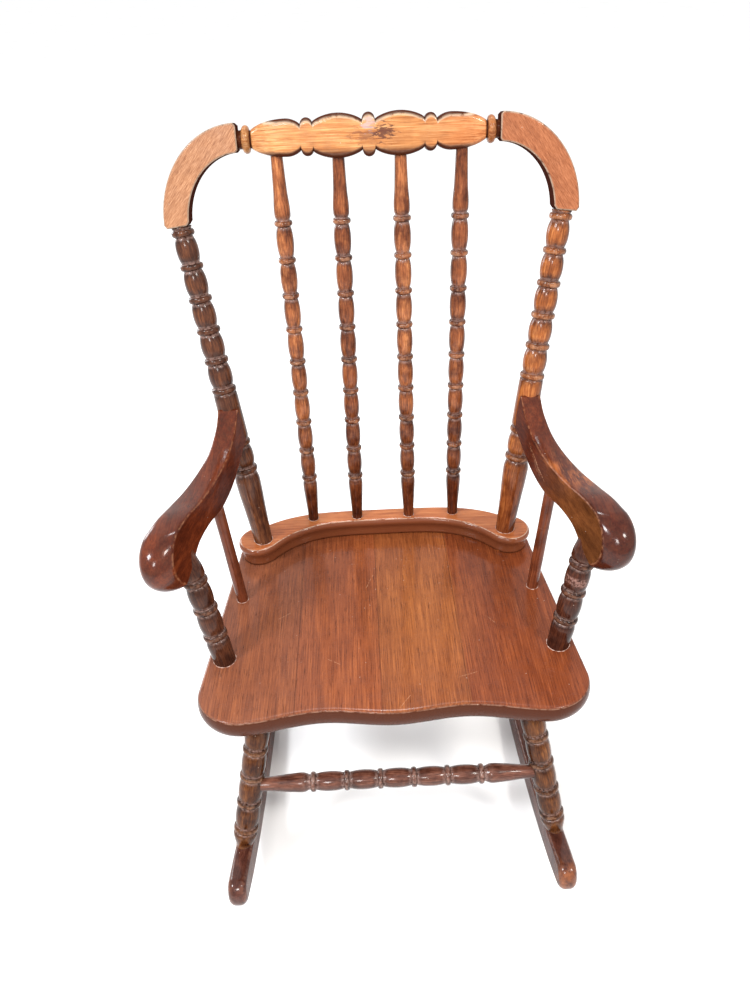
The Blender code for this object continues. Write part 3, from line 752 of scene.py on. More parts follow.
# The left post's darker colours are painted shade, and the right post's brighter, more orange ones are painted
# sunlight.
LEFT_POST_LOOK = look_of(
    (56, 30, 22), (96, 56, 38), (144, 88, 54), (150, 98, 70),
    wear=0.30, residue=0.65, blotch=0.5, coat=0.18, sides=0.45, **POST,
)
RIGHT_POST_LOOK = look_of(
    (96, 45, 21), (176, 98, 48), (232, 152, 86), (232, 172, 130),
    wear=0.40, blotch=0.60, coat=0.20, sides=0.95, **POST,
)
SPINDLE_LOOK = look_of(
    (92, 47, 29), (170, 98, 58), (226, 148, 90), (222, 162, 124),
    wear=0.40, residue=0.55, blotch=0.85, gloss=0.20, coat=0.22, specular=0.14, sides=0.95, **TURNING,
)
CREST_LOOK = look_of(
    (180, 108, 56), (222, 152, 92), (248, 188, 128), (255, 236, 208), (78, 38, 22), edging=1.0,
    contrast=0.10, wear=0.60, chip=0.30, blotch=0.25, gloss=0.22, dull=0.9,
    size=1.3, fibre=0.50, streak=0.30, figure=0.20,
)
CORNER_LOOK = look_of(
    (136, 82, 52), (186, 130, 93), (226, 170, 130), (255, 220, 190), (66, 34, 26), edging=1.0,
    contrast=0.15, wear=0.6, chip=0.30, blotch=0.14, gloss=0.26, dull=1.0,
    fibre=0.66, streak=0.24, figure=0.10, size=2.6, run=0.09,
)
ARM_LOOK = look_of(
    (56, 23, 14), (94, 40, 22), (130, 60, 31), (214, 146, 104), wear=0.45, blotch=0.25, gloss=0.16,
    specks=0.22, contrast=0.16, coat=0.22, specular=0.14, faces=0.10, size=1.3,
)
ARM_POST_LOOK = look_of(
    (56, 28, 20), (98, 56, 38), (140, 88, 58), (176, 124, 96),
    wear=0.40, residue=0.6, blotch=0.7, gloss=0.18, coat=0.18, specular=0.12, sides=0.7, **TURNING,
)
DOWEL_LOOK = look_of(
    (84, 38, 22), (126, 62, 36), (160, 88, 50), (172, 106, 66), wear=0.3, blotch=0.6, gloss=0.22, sides=0.6,
)
LEG_LOOK = look_of(
    (62, 30, 13), (108, 60, 27), (156, 98, 50), (196, 144, 112), specks=0.2,
    wear=0.40, residue=0.62, blotch=0.9, gloss=0.18, coat=0.16, specular=0.09, sides=0.75, **TURNING,
)
STRETCHER_LOOK = look_of(
    (74, 40, 31), (122, 74, 58), (170, 115, 92), (220, 180, 164),
    wear=0.40, residue=0.65, blotch=0.6, gloss=0.18, coat=0.28, specular=0.16, sides=0.60, **TURNING,
)
ROCKER_LOOK = look_of(
    (52, 26, 20), (88, 48, 38), (124, 74, 58), (176, 118, 92),
    wear=0.35, blotch=0.5, gloss=0.16, specks=0.16, contrast=0.15, coat=0.24, faces=0.15, size=1.3,
)


# ---- Seat and back block


def seat_outline():
    front = [(x, seat_front_y(x)) for x in spread(0, SEAT_CORNER_X, 60)]
    corner_radii = (SEAT_HALF_WIDTH - SEAT_CORNER_X, SEAT_WIDEST_Y - seat_front_y(SEAT_CORNER_X))
    corner = arc((SEAT_CORNER_X, SEAT_WIDEST_Y), corner_radii, -90, 0, 28)[1:]
    rear_corner = arc(BLOCK_LOBE, (SEAT_REAR_RADIUS, SEAT_REAR_RADIUS), -4, 80, 20)
    side = between(corner[-1], rear_corner[0], 0.006)
    rear = [(x, block_rear_y(x) + 0.0035) for x in spread(0.140, 0, 30)]
    return mirrored(front + corner + side + rear_corner + rear)


def block_outline():
    front = [(x, block_front_y(x)) for x in spread(0, 0.132, 40)]
    lobe = arc(BLOCK_LOBE, (BLOCK_LOBE_RADIUS, BLOCK_LOBE_RADIUS), -130, 85, 50)
    rear = [(x, block_rear_y(x)) for x in spread(0.142, 0, 30)]
    return mirrored(front + lobe + rear)


def seat_material():
    wood = Wood("seat_wood", SEAT_LOOK, grain=1)
    across = wood.axis(0)
    tints = (srgb(250, 230, 222), srgb(255, 246, 232), srgb(232, 206, 200))
    stops = [(0.0, srgb(246, 232, 228))]
    stops += [((seam + 0.2) / 0.4, tint) for seam, tint in zip(SEAT_SEAMS, tints)]
    wood.shade(1.0, wood.ramp(wood.remap(across, -0.2, 0.2), stops, "CONSTANT"))
    squeezed = wood.mapped(wood.coords, scale=(1.0, 0.55, 1.0))
    from_patch = wood.node("ShaderNodeVectorMath", {0: squeezed, 1: (0.035, -0.048, 0.0)}, operation="DISTANCE")
    blurred = wood.math("MULTIPLY_ADD", wood.streak, 0.05, from_patch.outputs["Value"])
    orange = wood.ramp(wood.tone, [(0.0, stain(132, 68, 30)), (1.0, stain(204, 126, 64))])
    wood.tint(wood.remap(blurred, 0.095, 0.040), orange, 0.45)
    # painted sheen: a pale cast over the left side of the seat
    wood.tint(wood.remap(across, -0.030, -0.150), stain(134, 98, 86), 0.26)
    for seam in SEAT_SEAMS:
        wood.shade(wood.remap(wood.apart(across, seam), 0.0006, 0.0002), srgb(120, 80, 70), 0.55)
    for x, y, way, length in (
        (0.010, -0.205, 0.9, 0.020), (-0.06, -0.15, 2.6, 0.016), (0.075, -0.175, 0.3, 0.022),
        (-0.02, -0.03, 1.2, 0.026), (0.11, -0.10, 2.2, 0.014), (-0.115, -0.08, 0.6, 0.018),
    ):
        cos, sin = math.cos(way), math.sin(way)
        wood.scratch((x, y, 0), (cos, sin, 0), (-sin, cos, 0), length, 0.0003)
    return wood.finish()


def build_seat():
    # Edge mark 1 gives the seat's walls painted shade, and 0.75 below the top arris a painted highlight line.
    levels = [
        (0.0085 * (1 - math.cos(a)), 0.0135 * (1 - math.sin(a)) - SEAT_THICKNESS, 1.0)
        for a in turns(90, 0, 9)
    ]
    levels += [
        (0.0001, -0.0085, 1.0), (0.0005, -0.0062, 1.0), (0.0010, -0.0040, 1.0), (0.0016, -0.0022, 1.0),
        (0.0019, -0.0016, 0.75), (0.0023, -0.0010, 0.3), (0.0032, -0.0003, 0.2), (0.0044, 0.0, 0.1),
        (0.0065, 0.0, 0.0),
    ]
    plate("seat", seat_outline(), levels, SEAT_FRAME, seat_material())
    wood = Wood("block_wood", BLOCK_LOOK, grain=0, shift=(0.3, 0.1, 0.2))
    # Edge mark 1 gives the block's walls painted shade, and 0.7 on the upper lip a painted highlight line.
    levels = [
        (0.0034, 0.0, 1.0), (0.0034, 0.0030, 1.0), (0.0036, 0.0075, 1.0), (0.0030, 0.0110, 1.0),
        (0.0018, 0.0140, 1.0), (0.0006, 0.0162, 1.0), (0.0, 0.0184, 1.0), (0.0003, 0.0204, 1.0),
        (0.0012, 0.0221, 1.0), (0.0019, 0.0228, 1.0), (0.0026, 0.0233, 0.7), (0.0033, 0.0236, 0.2),
        (0.0044, 0.0239, 0.1), (0.0066, BLOCK_HEIGHT, 0.0),
    ]
    place = SEAT_FRAME @ Matrix.Translation((0, 0, GAP))
    plate("back_block", block_outline(), levels, place, wood.finish())


# ---- Residue in the joints


def ring_path(foot, axis, radius):
    """Where a leaning round piece meets the board's face, in that face's frame."""
    points = []
    u = axis.orthogonal().normalized()
    v = axis.cross(u)
    for a in around(40):
        rim = foot + (u * math.cos(a) + v * math.sin(a)) * radius
        rim -= axis * (rim.z / axis.z)
        points.append((rim.x, rim.y))
    return points


def build_residue(name, paths, height):
    """Thin uneven rings of old wax on a board's face, in the seat's frame."""
    verts, faces = [], []
    section = ((-0.0007, -0.0001), (-0.0005, 0.00035), (0.0001, 0.0006), (0.0007, 0.0003), (0.0010, -0.0001))
    size = len(section)
    for order, path in enumerate(paths):
        path = anticlockwise(path)
        first = len(verts)
        for index, ((x, y), inward) in enumerate(zip(path, inward_offsets(path))):
            phase = order * 1.7 + index * 0.9
            width = max(0.15, 0.55 + 0.30 * math.sin(phase) + 0.22 * math.sin(2.3 * phase + 1.0))
            away = -Vector(inward).normalized()
            for out, up in section:
                verts.append((x + away.x * out * width, y + away.y * out * width, height + up * width))
        for index in range(len(path)):
            low, high = first + index * size, first + (index + 1) % len(path) * size
            for part in range(size):
                after = (part + 1) % size
                faces.append((low + part, high + part, high + after, low + after))
    shader = Shader(name)
    patches = shader.patches(shader.coords, 300, 0.35, 0.62, 4)
    shader.put("Base Color", shader.mix(patches, stain(150, 92, 72), stain(222, 188, 172)))
    shader.put("Roughness", shader.remap(shader.noise(shader.coords, 120, 3), 0.3, 0.7, 0.4, 0.7))
    shader.put("Normal", shader.bump(shader.noise(shader.coords, 900, 3), 0.5, 0.0003))
    add_piece(name, verts, faces, SEAT_FRAME, shader.material, None)


# ---- Turned parts of the back, the arms and the base


def post_profile():
    def radius(place):
        return 0.0116 + (0.356 - place) * 0.0117

    lower = [0.0962, 0.1292]
    upper = [0.192 + POST_RING_PITCH * count for count in range(6)]
    shape = (0.0064, 0.0026, 0.0004, 0.0028)
    foot = smooth_run(
        [(-POST_FOOT_DEPTH, 0.01070), (0, 0.01075), (0.045, 0.0126), (0.070, 0.0140),
         (0.082, 0.0143), (0.0900, 0.0128), (0.0924, 0.0119)]
    )
    waist = smooth_run(
        [(0.1330, 0.0119), (0.1350, 0.0131), (0.1380, 0.0134), (0.1830, 0.0131), (0.1882, 0.0126)]
    )
    top = POST_LENGTH - GAP
    tip = [(0.3595, 0.0092), (0.3602, 0.0096), (0.3612, 0.0101), (top - 0.0004, 0.0101), (top, 0.0097)]
    return foot + spool(lower, radius, *shape) + waist + spool(upper, radius, *shape) + tip


def spindle_profile(length):
    rings = [0.0591 + SPINDLE_RING_PITCH * count for count in range(9)]
    foot = smooth_run(
        [(-SPINDLE_FOOT_DEPTH, 0.0060), (0, SPINDLE_FOOT_RADIUS), (0.030, 0.0077), (0.048, 0.0086),
         (0.0532, 0.0080), (0.0556, 0.0068)]
    )
    neck = smooth_run([(0.3542, 0.0070), (0.357, 0.0081), (0.362, 0.0082), (0.380, 0.0069), (length, 0.0055)])
    return foot + spool(rings, lambda place: 0.00925, 0.0052, 0.0022, 0.0004, 0.0023) + neck


def leg_profile(length):
    rings = [0.0221 + LEG_RING_PITCH * count for count in range(5)]
    foot = smooth_run(
        [(-0.010, 0.0086), (0.0, 0.0088), (0.004, 0.0099), (0.009, 0.0116), (0.015, 0.0129), (0.0184, 0.0120)],
        0.001,
    )
    last = rings[-1] + 0.0040
    neck = smooth_run(
        [(last, 0.0118), (last + 0.003, 0.0126), (length - 0.010, 0.0124), (length - 0.002, 0.0114),
         (length + 0.008, 0.0110)]
    )
    return foot + spool(rings, lambda place: 0.0133, 0.0066, 0.0024, 0.0006, 0.0019) + neck


def arm_post_profile(length):
    rings = [0.0330 + ARM_POST_RING_PITCH * count for count in range(3)]
    foot = smooth_run(
        [(-ARM_SOCKET_DEPTH, ARM_POST_FOOT_RADIUS), (0, ARM_POST_FOOT_RADIUS), (0.010, 0.0116),
         (0.022, 0.0121), (0.0292, 0.0108)]
    )
    last = rings[-1] + 0.0040
    neck = smooth_run(
        [(last, 0.0108), (last + 0.003, 0.0121), (length - 0.020, 0.0119), (length - 0.010, 0.0102),
         (length, 0.0090), (length + ARM_SOCKET_DEPTH, 0.0090)]
    )
    return foot + spool(rings, lambda place: 0.0127, 0.0064, 0.0024, 0.0005, 0.0022) + neck


def front_stretcher_profile(length):
    middle = length / 2
    rings = [middle + STRETCHER_RING_PITCH * (count - 2.5) for count in range(6)]
    vase = rings[0] - 0.011
    start = smooth_run(
        [(0, STRETCHER_END_RADIUS), (0.012, STRETCHER_END_RADIUS), (vase - 0.016, 0.0090),
         (vase, 0.0101), (rings[0] - 0.0038, 0.0078)]
    )
    end = [(length - place, radius) for place, radius in reversed(start)]
    return start + spool(rings, lambda place: 0.0104, 0.0056, 0.0022, 0.0004, 0.0021) + end


def rear_stretcher_profile(length):
    end = STRETCHER_END_RADIUS
    return smooth_run(
        [(0, end), (0.012, end), (length * 0.3, 0.0092), (length * 0.5, 0.0098),
         (length * 0.7, 0.0092), (length - 0.012, end), (length, end)],
        0.004,
    )


def build_posts():
    for side, word in SIDES:
        look = LEFT_POST_LOOK if side < 0 else RIGHT_POST_LOOK
        wood = Wood("post_wood_" + word, look, shift=(0.1 * side, 0.3, 0.05))
        if side > 0:
            wood.shade(wood.remap(wood.axis(2), 0.15, 0.05), srgb(196, 172, 160), 0.8)
        turned("back_post_" + word, post_profile(), *post_axis(side), wood.finish(), "post_wood", 52)


def build_spindles():
    """Gives each spindle's foot and axis."""
    rail_bottom = CREST_HEIGHT - crest_half_height(SPINDLE_TOPS[0])
    feet = []
    for number, (side, index) in enumerate(((-1, 0), (-1, 1), (1, 1), (1, 0)), 1):
        foot = on_seat(side * SPINDLE_FEET[index], SPINDLE_FOOT_Y, GAP + BLOCK_HEIGHT)
        top = on_back(side * SPINDLE_TOPS[index], rail_bottom + SPINDLE_TOP_DEPTH)
        wood = Wood(f"spindle_wood_{number}", SPINDLE_LOOK, shift=(0.2 * number, 0.1, 0.37 * number))
        wood.shade(wood.remap(wood.axis(2), 0.16, 0.02), srgb(150, 112, 92), 0.85)
        if number in (2, 4):
            wood.shade(0.6, srgb(196, 176, 172))
        profile = spindle_profile((top - foot).length)
        turned(f"back_spindle_{number}", profile, foot, top, wood.finish(), "spindle_wood", 40)
        feet.append((foot, (top - foot).normalized()))
    return feet


# ---- Crest


def crest_half_height(x):
    x = abs(x)
    if x < CREST_KNOB:
        return 0.0130 + math.sqrt(max(0.0, CREST_KNOB**2 - x**2))
    if x < CREST_LOBE_END:
        share = (x - CREST_KNOB) / (CREST_LOBE_END - CREST_KNOB)
        return 0.0128 + 0.0067 * math.sin(math.pi * share) ** 0.7
    if x < CREST_BEAD_END:
        return 0.0108 + math.sqrt(max(0.0, CREST_BEAD_RADIUS**2 - (x - CREST_BEAD_X) ** 2))
    if x < CREST_SHOULDER_END:
        share = (x - CREST_BEAD_END) / (CREST_SHOULDER_END - CREST_BEAD_END)
        return 0.0108 + 0.0057 * math.sin(math.pi / 2 * share) ** 0.7
    return 0.0165 * math.sqrt(1 - ((x - CREST_SHOULDER_END) / 0.0385) ** 2)


def crest_depth(x):
    """Half the rail's thickness, thinner towards the turned ends."""
    return 0.0098 - 0.0019 * unit((abs(x) - 0.084) / 0.0275) ** 1.5


def crest_section(half_height, half_depth, corner=0.0052, steps=6):
    """A rounded rectangle as (height, depth, edge mark), anticlockwise."""
    corner = min(corner, half_height * 0.98, half_depth * 0.98)
    points = []
    flat_y, flat_z = half_height - corner, half_depth - corner
    for centre_y, centre_z, first in ((1, 1, 0), (-1, 1, 90), (-1, -1, 180), (1, -1, 270)):
        for a in turns(first, first + 90, steps):
            z = centre_z * flat_z + corner * math.sin(a)
            points.append((centre_y * flat_y + corner * math.cos(a), z, abs(math.cos(a)) ** 0.8))
        if centre_y == centre_z:
            # two more rows keep the shading of a flat face apart from its arrises
            inside = centre_y * max(flat_y - 0.001, 0.4 * flat_y)
            points += [(inside, z, 0.0), (-inside, z, 0.0)]
    return points


def crest_stations():
    """Places along half of the rail, close together at each notch."""
    lobe = round(CREST_LOBE_END - CREST_KNOB, 6)
    shoulder = round(CREST_SHOULDER_END - CREST_BEAD_END, 6)
    stations = spread(0, 0.0061, 8) + [CREST_KNOB, 0.00625]
    stations += [CREST_KNOB + lobe * (1 - math.cos(math.pi * t)) / 2 for t in spread(0.04, 0.96, 26)]
    stations += [0.05275, 0.0529]
    stations += [CREST_BEAD_X - CREST_BEAD_RADIUS * math.cos(math.pi * t) for t in spread(0.04, 0.96, 12)]
    stations += [0.06455, 0.0647]
    stations += [CREST_BEAD_END + shoulder * t**1.6 for t in spread(0.08, 1.0, 9)]
    stations += spread(0.0790, CREST_FLAT_HALF, 24)
    return sorted(set(round(station, 6) for station in stations))


def crest_material():
    lean = BACK_RECLINE - math.pi / 2
    wood = Wood("crest_wood", CREST_LOOK, grain=0, shift=(0.5, 0.2, 0.1), lean=lean)
    across = wood.axis(0)
    wood.shade(wood.remap(wood.apart(across, -0.01), 0.085, 0.03), srgb(222, 190, 160), 0.12)
    wood.shade(wood.remap(across, 0.045, 0.085), srgb(240, 222, 218))
    streaky = wood.noise(wood.mapped(wood.coords, scale=(0.30, 1.0, 1.0)), 420, 4, 0.75)
    for (x, y), scale, ragged, near, strength, colour in (
        ((-0.004, 0.000), (1.0, 2.2), 0.080, 0.012, 0.45, stain(120, 70, 56)),
        ((0.014, 0.002), (1.0, 1.5), 0.070, 0.010, 0.85, stain(96, 52, 44)),
        ((0.0, 0.011), (1.0, 0.8), 0.030, 0.007, 0.60, stain(214, 190, 194)),
    ):
        shift = (-x * scale[0], -y * scale[1], 0.0)
        placed = wood.mapped(wood.coords, scale=(*scale, 0.0), shift=shift)
        spot = wood.node("ShaderNodeVectorMath", {0: placed}, operation="LENGTH").outputs["Value"]
        cloud = wood.math("MULTIPLY_ADD", streaky, ragged, spot)
        reach = near + ragged / 2
        wood.tint(wood.remap(cloud, reach, reach - 0.004), colour, strength)
    # painted shade along the rail's lower edge
    wood.shade(wood.remap(wood.axis(1), -0.0100, -0.0150), srgb(96, 56, 44), 0.9)
    return wood.finish()


def build_crest():
    half = crest_stations()
    stations = [-x for x in reversed(half[1:])] + half
    verts, edge = [], []
    for x in stations:
        fade = unit((abs(x) - 0.086) / 0.014)
        for y, z, mark in crest_section(crest_half_height(x), crest_depth(x)):
            verts.append((x, y, z))
            edge.append(mark * (1 - 0.70 * fade))
    faces = turned_over(board_faces(len(stations), len(verts) // len(stations)))
    turning = [
        (0.1060, 0.0078), (0.1100, 0.0078), (0.1118, 0.0077), (0.1128, 0.0080), (0.1131, 0.0096),
        (0.1138, 0.0113), (0.1150, 0.0122), (0.1165, 0.0126), (0.1181, 0.0122), (0.1194, 0.0112),
        (0.1201, 0.0098), (0.1206, 0.0085), (0.1220, 0.0083), (0.1242, 0.0081), (0.1300, 0.0062),
    ]
    sides = 40
    for side in (-1, 1):
        bead = board_faces(len(turning), sides, len(verts))
        faces += bead if side > 0 else turned_over(bead)
        for x, radius in turning:
            verts += [(side * x, radius * math.cos(a), radius * math.sin(a)) for a in around(sides)]
            # the beads' edge marks give them part of the painted shade
            edge += [0.60 if radius < 0.0090 else 0.34] * sides
    # a painted highlight line along the upper front arris of the rail's middle
    wear = []
    for (x, y, z), mark in zip(verts, edge):
        share = max(0.0, 1 - abs(mark - 0.42) * 4.5) if abs(x) < 0.100 else 0.0
        wear.append(share if y > 0 and z > 0 else 0.1 * share)
    verts = [tuple(BACK_TURN @ Vector(vert)) for vert in verts]
    place = Matrix.Translation(on_back(0, CREST_HEIGHT))
    marks = {"edge": edge, "wear": wear}
    add_piece("crest_rail_board", verts, faces, place, crest_material(), "crest_rail", marks)


def corner_outline(side):
    post_x = POST_FOOT_X + math.sin(POST_LEAN) * POST_LENGTH
    centre = (CORNER_END_X, math.cos(POST_LEAN) * POST_LENGTH)

    def end_angle(radii):
        beyond = post_x - CORNER_END_X - radii[0]
        return math.degrees(beyond * math.tan(POST_LEAN) / radii[1])

    low_outer, low_inner = end_angle(CORNER_OUTER), end_angle(CORNER_INNER)
    outer = arc(centre, CORNER_OUTER, low_outer + 2.4, 88.2, 40)
    inner = arc(centre, CORNER_INNER, 87.6, low_inner + 3.0, 34)
    foot_outer, end_outer = map(Vector, arc(centre, CORNER_OUTER, low_outer, 90, 1))
    foot_inner, end_inner = map(Vector, arc(centre, CORNER_INNER, low_inner, 90, 1))
    across = (foot_inner - foot_outer).normalized() * 0.0026
    down = (end_inner - end_outer).normalized() * 0.0024
    path = [foot_outer + across, *outer, end_outer + down, end_inner - down, *inner, foot_inner - across]
    return [(side * x, y) for x, y in path]


def build_corners():
    # the edge marks give the arrises painted shade and a painted highlight line
    levels = round_levels(0.0018, 0, CORNER_THICKNESS, 4)
    place = BACK_FRAME @ Matrix.Translation((0, 0, -CORNER_THICKNESS / 2))
    for side, word in SIDES:
        turn = (0, 0, math.radians(-50 if side < 0 else 54))
        wood = Wood("corner_wood_" + word, CORNER_LOOK, grain=0, shift=(0.2 * side, 0.1, 0.3), turn=turn)
        if side > 0:
            wood.shade(0.8, srgb(236, 194, 170))
        plate("crest_corner_" + word, corner_outline(side), levels, place, wood.finish())


# ---- Arms


def arm_outline():
    top = [(ARM_REAR_Y, 0.429), (0.030, 0.4135), (0.010, 0.4035), (-0.015, 0.3985), (-0.045, 0.3975)]
    swell = [(-0.075, 0.4005), (-0.102, 0.4055)]
    nose = arc((-0.1180, 0.3760), (0.0330, 0.0305), 100, 228, 26)
    bottom = [(-0.120, 0.3600), (-0.098, 0.3685), (-0.070, 0.3690), (-0.040, 0.3640)]
    rear = [(-0.010, 0.3670), (0.020, 0.3770), (ARM_REAR_Y, 0.3920)]
    upper = curve_through(top + swell + nose[:1])
    lower = curve_through(nose[-1:] + bottom + rear)
    back = spread(0.3920, 0.429, 8)[1:-1]
    return upper + nose[1:-1] + lower + [(ARM_REAR_Y, z) for z in back]


def arm_point(side, y, z, across):
    inner = ARM_INNER_X + ARM_INNER_FLARE * (ARM_PLAN_Y - y)
    outer = ARM_OUTER_X + ARM_OUTER_FLARE * (ARM_PLAN_Y - y)
    x = inner + (outer - inner) * across + ARM_LEAN * (z - ARM_LEAN_Z)
    bulge = ARM_NOSE_BULGE * unit((-0.09 - y) / 0.06) * (1 - (2 * across - 1) ** 2)
    if side < 0:
        # the left arm of the photographed chair stands a little further out
        x += 0.0013 * unit((ARM_REAR_Y - 0.012 - y) / 0.07)
    return (side * x, y - bulge, z)


def arm_width(y):
    return ARM_OUTER_X - ARM_INNER_X + (ARM_OUTER_FLARE - ARM_INNER_FLARE) * (ARM_PLAN_Y - y)


def arm_mesh(side):
    """Gives the points, their edge marks and the faces of one arm."""
    inner_round = 0.0020
    levels = [("inner", a) for a in turns(90, 0, 5)]
    levels += [("wall", share) for share in (0.2, 0.4, 0.6, 0.8)]
    levels += [("outer", a) for a in turns(0, 90, 9)]
    outline = anticlockwise(arm_outline())
    steps = inward_offsets(outline)
    verts, edge = [], []
    for kind, value in levels:
        for (y, z), step in zip(outline, steps):
            width = arm_width(y)
            outer_round = 0.0048 + 0.0034 * unit((-0.075 - y) / 0.04)
            low, high = inner_round / width, 1 - outer_round / width
            inset, mark = 0.0, 1.0
            if kind == "wall":
                across = low + (high - low) * value
            else:
                radius = inner_round if kind == "inner" else outer_round
                inset, mark = radius * (1 - math.cos(value)), math.cos(value)
                across = radius * (1 - math.sin(value)) / width
                across = across if kind == "inner" else 1 - across
            crown = 0.0010 * math.sin(math.pi * min(1.0, across * 1.15))
            # the square rear end stays whole where it meets the post
            whole = min(1.0, (ARM_REAR_Y - y) / 0.016)
            total = (inset - crown * (1 - inset / outer_round)) * whole
            verts.append(arm_point(side, y + step[0] * total, z + step[1] * total, across))
            edge.append(mark)
    faces = board_faces(len(levels), len(outline))
    return verts, edge, faces if side > 0 else turned_over(faces)


def paint_right_arm_wear_and_light(wood):
    """The cool nose, the rubbed patch, the inner face made lighter and olive by painted light, and the
    scratches of the right arm.
    """
    wood.shade(wood.remap(wood.axis(1), -0.085, -0.125), srgb(176, 158, 176), 0.75)
    patch = wood.patches(wood.stretched(0.14), 190, 0.46, 0.62, 5, 0.65)
    patch = wood.times(patch, wood.remap(wood.apart(wood.axis(1), -0.050), 0.045, 0.015))
    patch = wood.times(patch, wood.remap(wood.axis(2), 0.388, 0.400))
    wood.tint(patch, stain(204, 118, 62), 0.7)
    # painted light: the flat faces grow lighter and more olive towards the front, seen on the inner face
    inner = wood.remap(wood.attribute("edge"), 0.5, 0.1)
    inner = wood.times(inner, wood.remap(wood.axis(1), -0.005, -0.085))
    wood.tint(inner, wood.ramp(wood.tone, [(0.0, stain(92, 52, 26)), (1.0, stain(158, 102, 56))]), 0.55)
    for y, z, way, length in (
        (-0.006, 0.3860, 0.42, 0.042), (-0.012, 0.3830, 0.36, 0.046), (-0.004, 0.3830, 0.55, 0.030),
        (-0.020, 0.3790, 0.30, 0.034), (-0.014, 0.3805, 0.62, 0.024),
    ):
        cos, sin = math.cos(way), math.sin(way)
        wood.scratch((0.17, y, z), (0, cos, sin), (0, -sin, cos), length, 0.00028, 0.7)


def build_arms():
    for side, word in SIDES:
        verts, edge, faces = arm_mesh(side)
        wood = Wood("arm_wood_" + word, ARM_LOOK, grain=1, shift=(0.15 * side, 0.2, 0.1))
        if side > 0:
            paint_right_arm_wear_and_light(wood)
        place = Matrix.Identity(4)
        add_board("arm_" + word, verts, faces, edge, place, wood.finish(), 0.55, 2.4, 0.06)
        build_arm_supports(side, word)


def build_arm_supports(side, word):
    foot, top = on_side(side, ARM_POST)
    wood = Wood("arm_post_wood_" + word, ARM_POST_LOOK, shift=(0.3 * side, 0.4, 0.1))
    if side > 0:
        flakes = wood.patches(wood.placed, 360, 0.46, 0.56, 4, 0.7)
        flakes = wood.times(flakes, wood.remap(wood.apart(wood.axis(2), 0.0815), 0.0055, 0.0035))
        wood.tint(flakes, stain(214, 176, 158), 0.8)
    wood.shade(0.8, srgb(190, 162, 162) if side > 0 else srgb(226, 218, 216))
    profile = arm_post_profile((top - foot).length)
    turned("arm_post_" + word, profile, foot, top, wood.finish(), "arm_post_wood")
    foot, top = on_side(side, ARM_DOWEL)
    reach = (top - foot).normalized() * ARM_SOCKET_DEPTH
    length = (top - foot).length + 2 * ARM_SOCKET_DEPTH
    radius = ARM_DOWEL_RADIUS
    profile = [(0, radius - 0.0006), (0.0006, radius)]
    profile += [(place, radius - 0.0001 * math.sin(place * 90)) for place in spread(0.004, length - 0.004, 60)]
    if side > 0:
        band = 0.088
        profile += [(band + step, radius - depth) for step, depth in ((-0.0006, 0), (0, 0.0005), (0.0006, 0))]
        profile.sort()
    profile += [(length - 0.0006, radius), (length, radius - 0.0006)]
    wood = Wood("dowel_wood_" + word, DOWEL_LOOK, shift=(0.2 * side, 0.1, 0.6))
    turned("arm_dowel_" + word, profile, foot - reach, top + reach, wood.finish(), "dowel_wood", 36)


# ---- Rockers, legs and stretchers


def rocker_outline():
    """Side view as (y, z)."""
    middle = ROCKER_RADIUS - ROCKER_HEIGHT / 2
    half = ROCKER_HEIGHT / 2
    cap_length = 0.8 * half

    def rim(radius, angle):
        return (ROCKER_LOW_Y + radius * math.sin(angle), ROCKER_RADIUS - radius * math.cos(angle))

    def cap(angle, sense):
        return [
            rim(middle + half * math.sin(a), angle + cap_length * math.cos(a) * sense / middle)
            for a in turns(-84, 84, 16)
        ]

    front = math.asin((ROCKER_FRONT_Y + cap_length - ROCKER_LOW_Y) / middle)
    rear = math.asin((ROCKER_REAR_Y - cap_length - ROCKER_LOW_Y) / middle)
    angles = spread(front, rear, 110)
    lower = [rim(ROCKER_RADIUS, angle) for angle in angles]
    upper = [rim(ROCKER_RADIUS - ROCKER_HEIGHT, angle) for angle in reversed(angles)]
    return lower + cap(rear, 1)[::-1] + upper + cap(front, -1)


def build_rocker(side, word):
    outline = anticlockwise(rocker_outline())
    half = ROCKER_THICKNESS / 2
    ends = [min(abs(y - ROCKER_FRONT_Y), abs(y - ROCKER_REAR_Y)) for y, _ in outline]
    radii = 0.0038 + 0.0040 * np.maximum(0.0, 1 - np.array(ends) / 0.045) ** 1.5
    stand = Matrix(((0, 0, 1, 0), (1, 0, 0, 0), (0, 1, 0, 0), (0, 0, 0, 1)))
    toe_out = Matrix.Rotation(side * ROCKER_TOE_OUT, 4, "Z")
    place = Matrix.Translation((side * ROCKER_X, 0, 0)) @ toe_out @ stand
    wood = Wood("rocker_wood_" + word, ROCKER_LOOK, grain=0, shift=(0.2 * side, 0.3, 0.1))
    if side > 0:
        tip = wood.remap(wood.axis(0), -0.276, -0.298)
        rubbed = wood.patches(wood.coords, 120, 0.38, 0.62, 5, 0.65)
        wood.tint(wood.times(tip, rubbed), stain(176, 104, 62), 0.7)
    levels = round_levels(radii, -half, half, 7)
    plate("rocker_" + word, outline, levels, place, wood.finish())


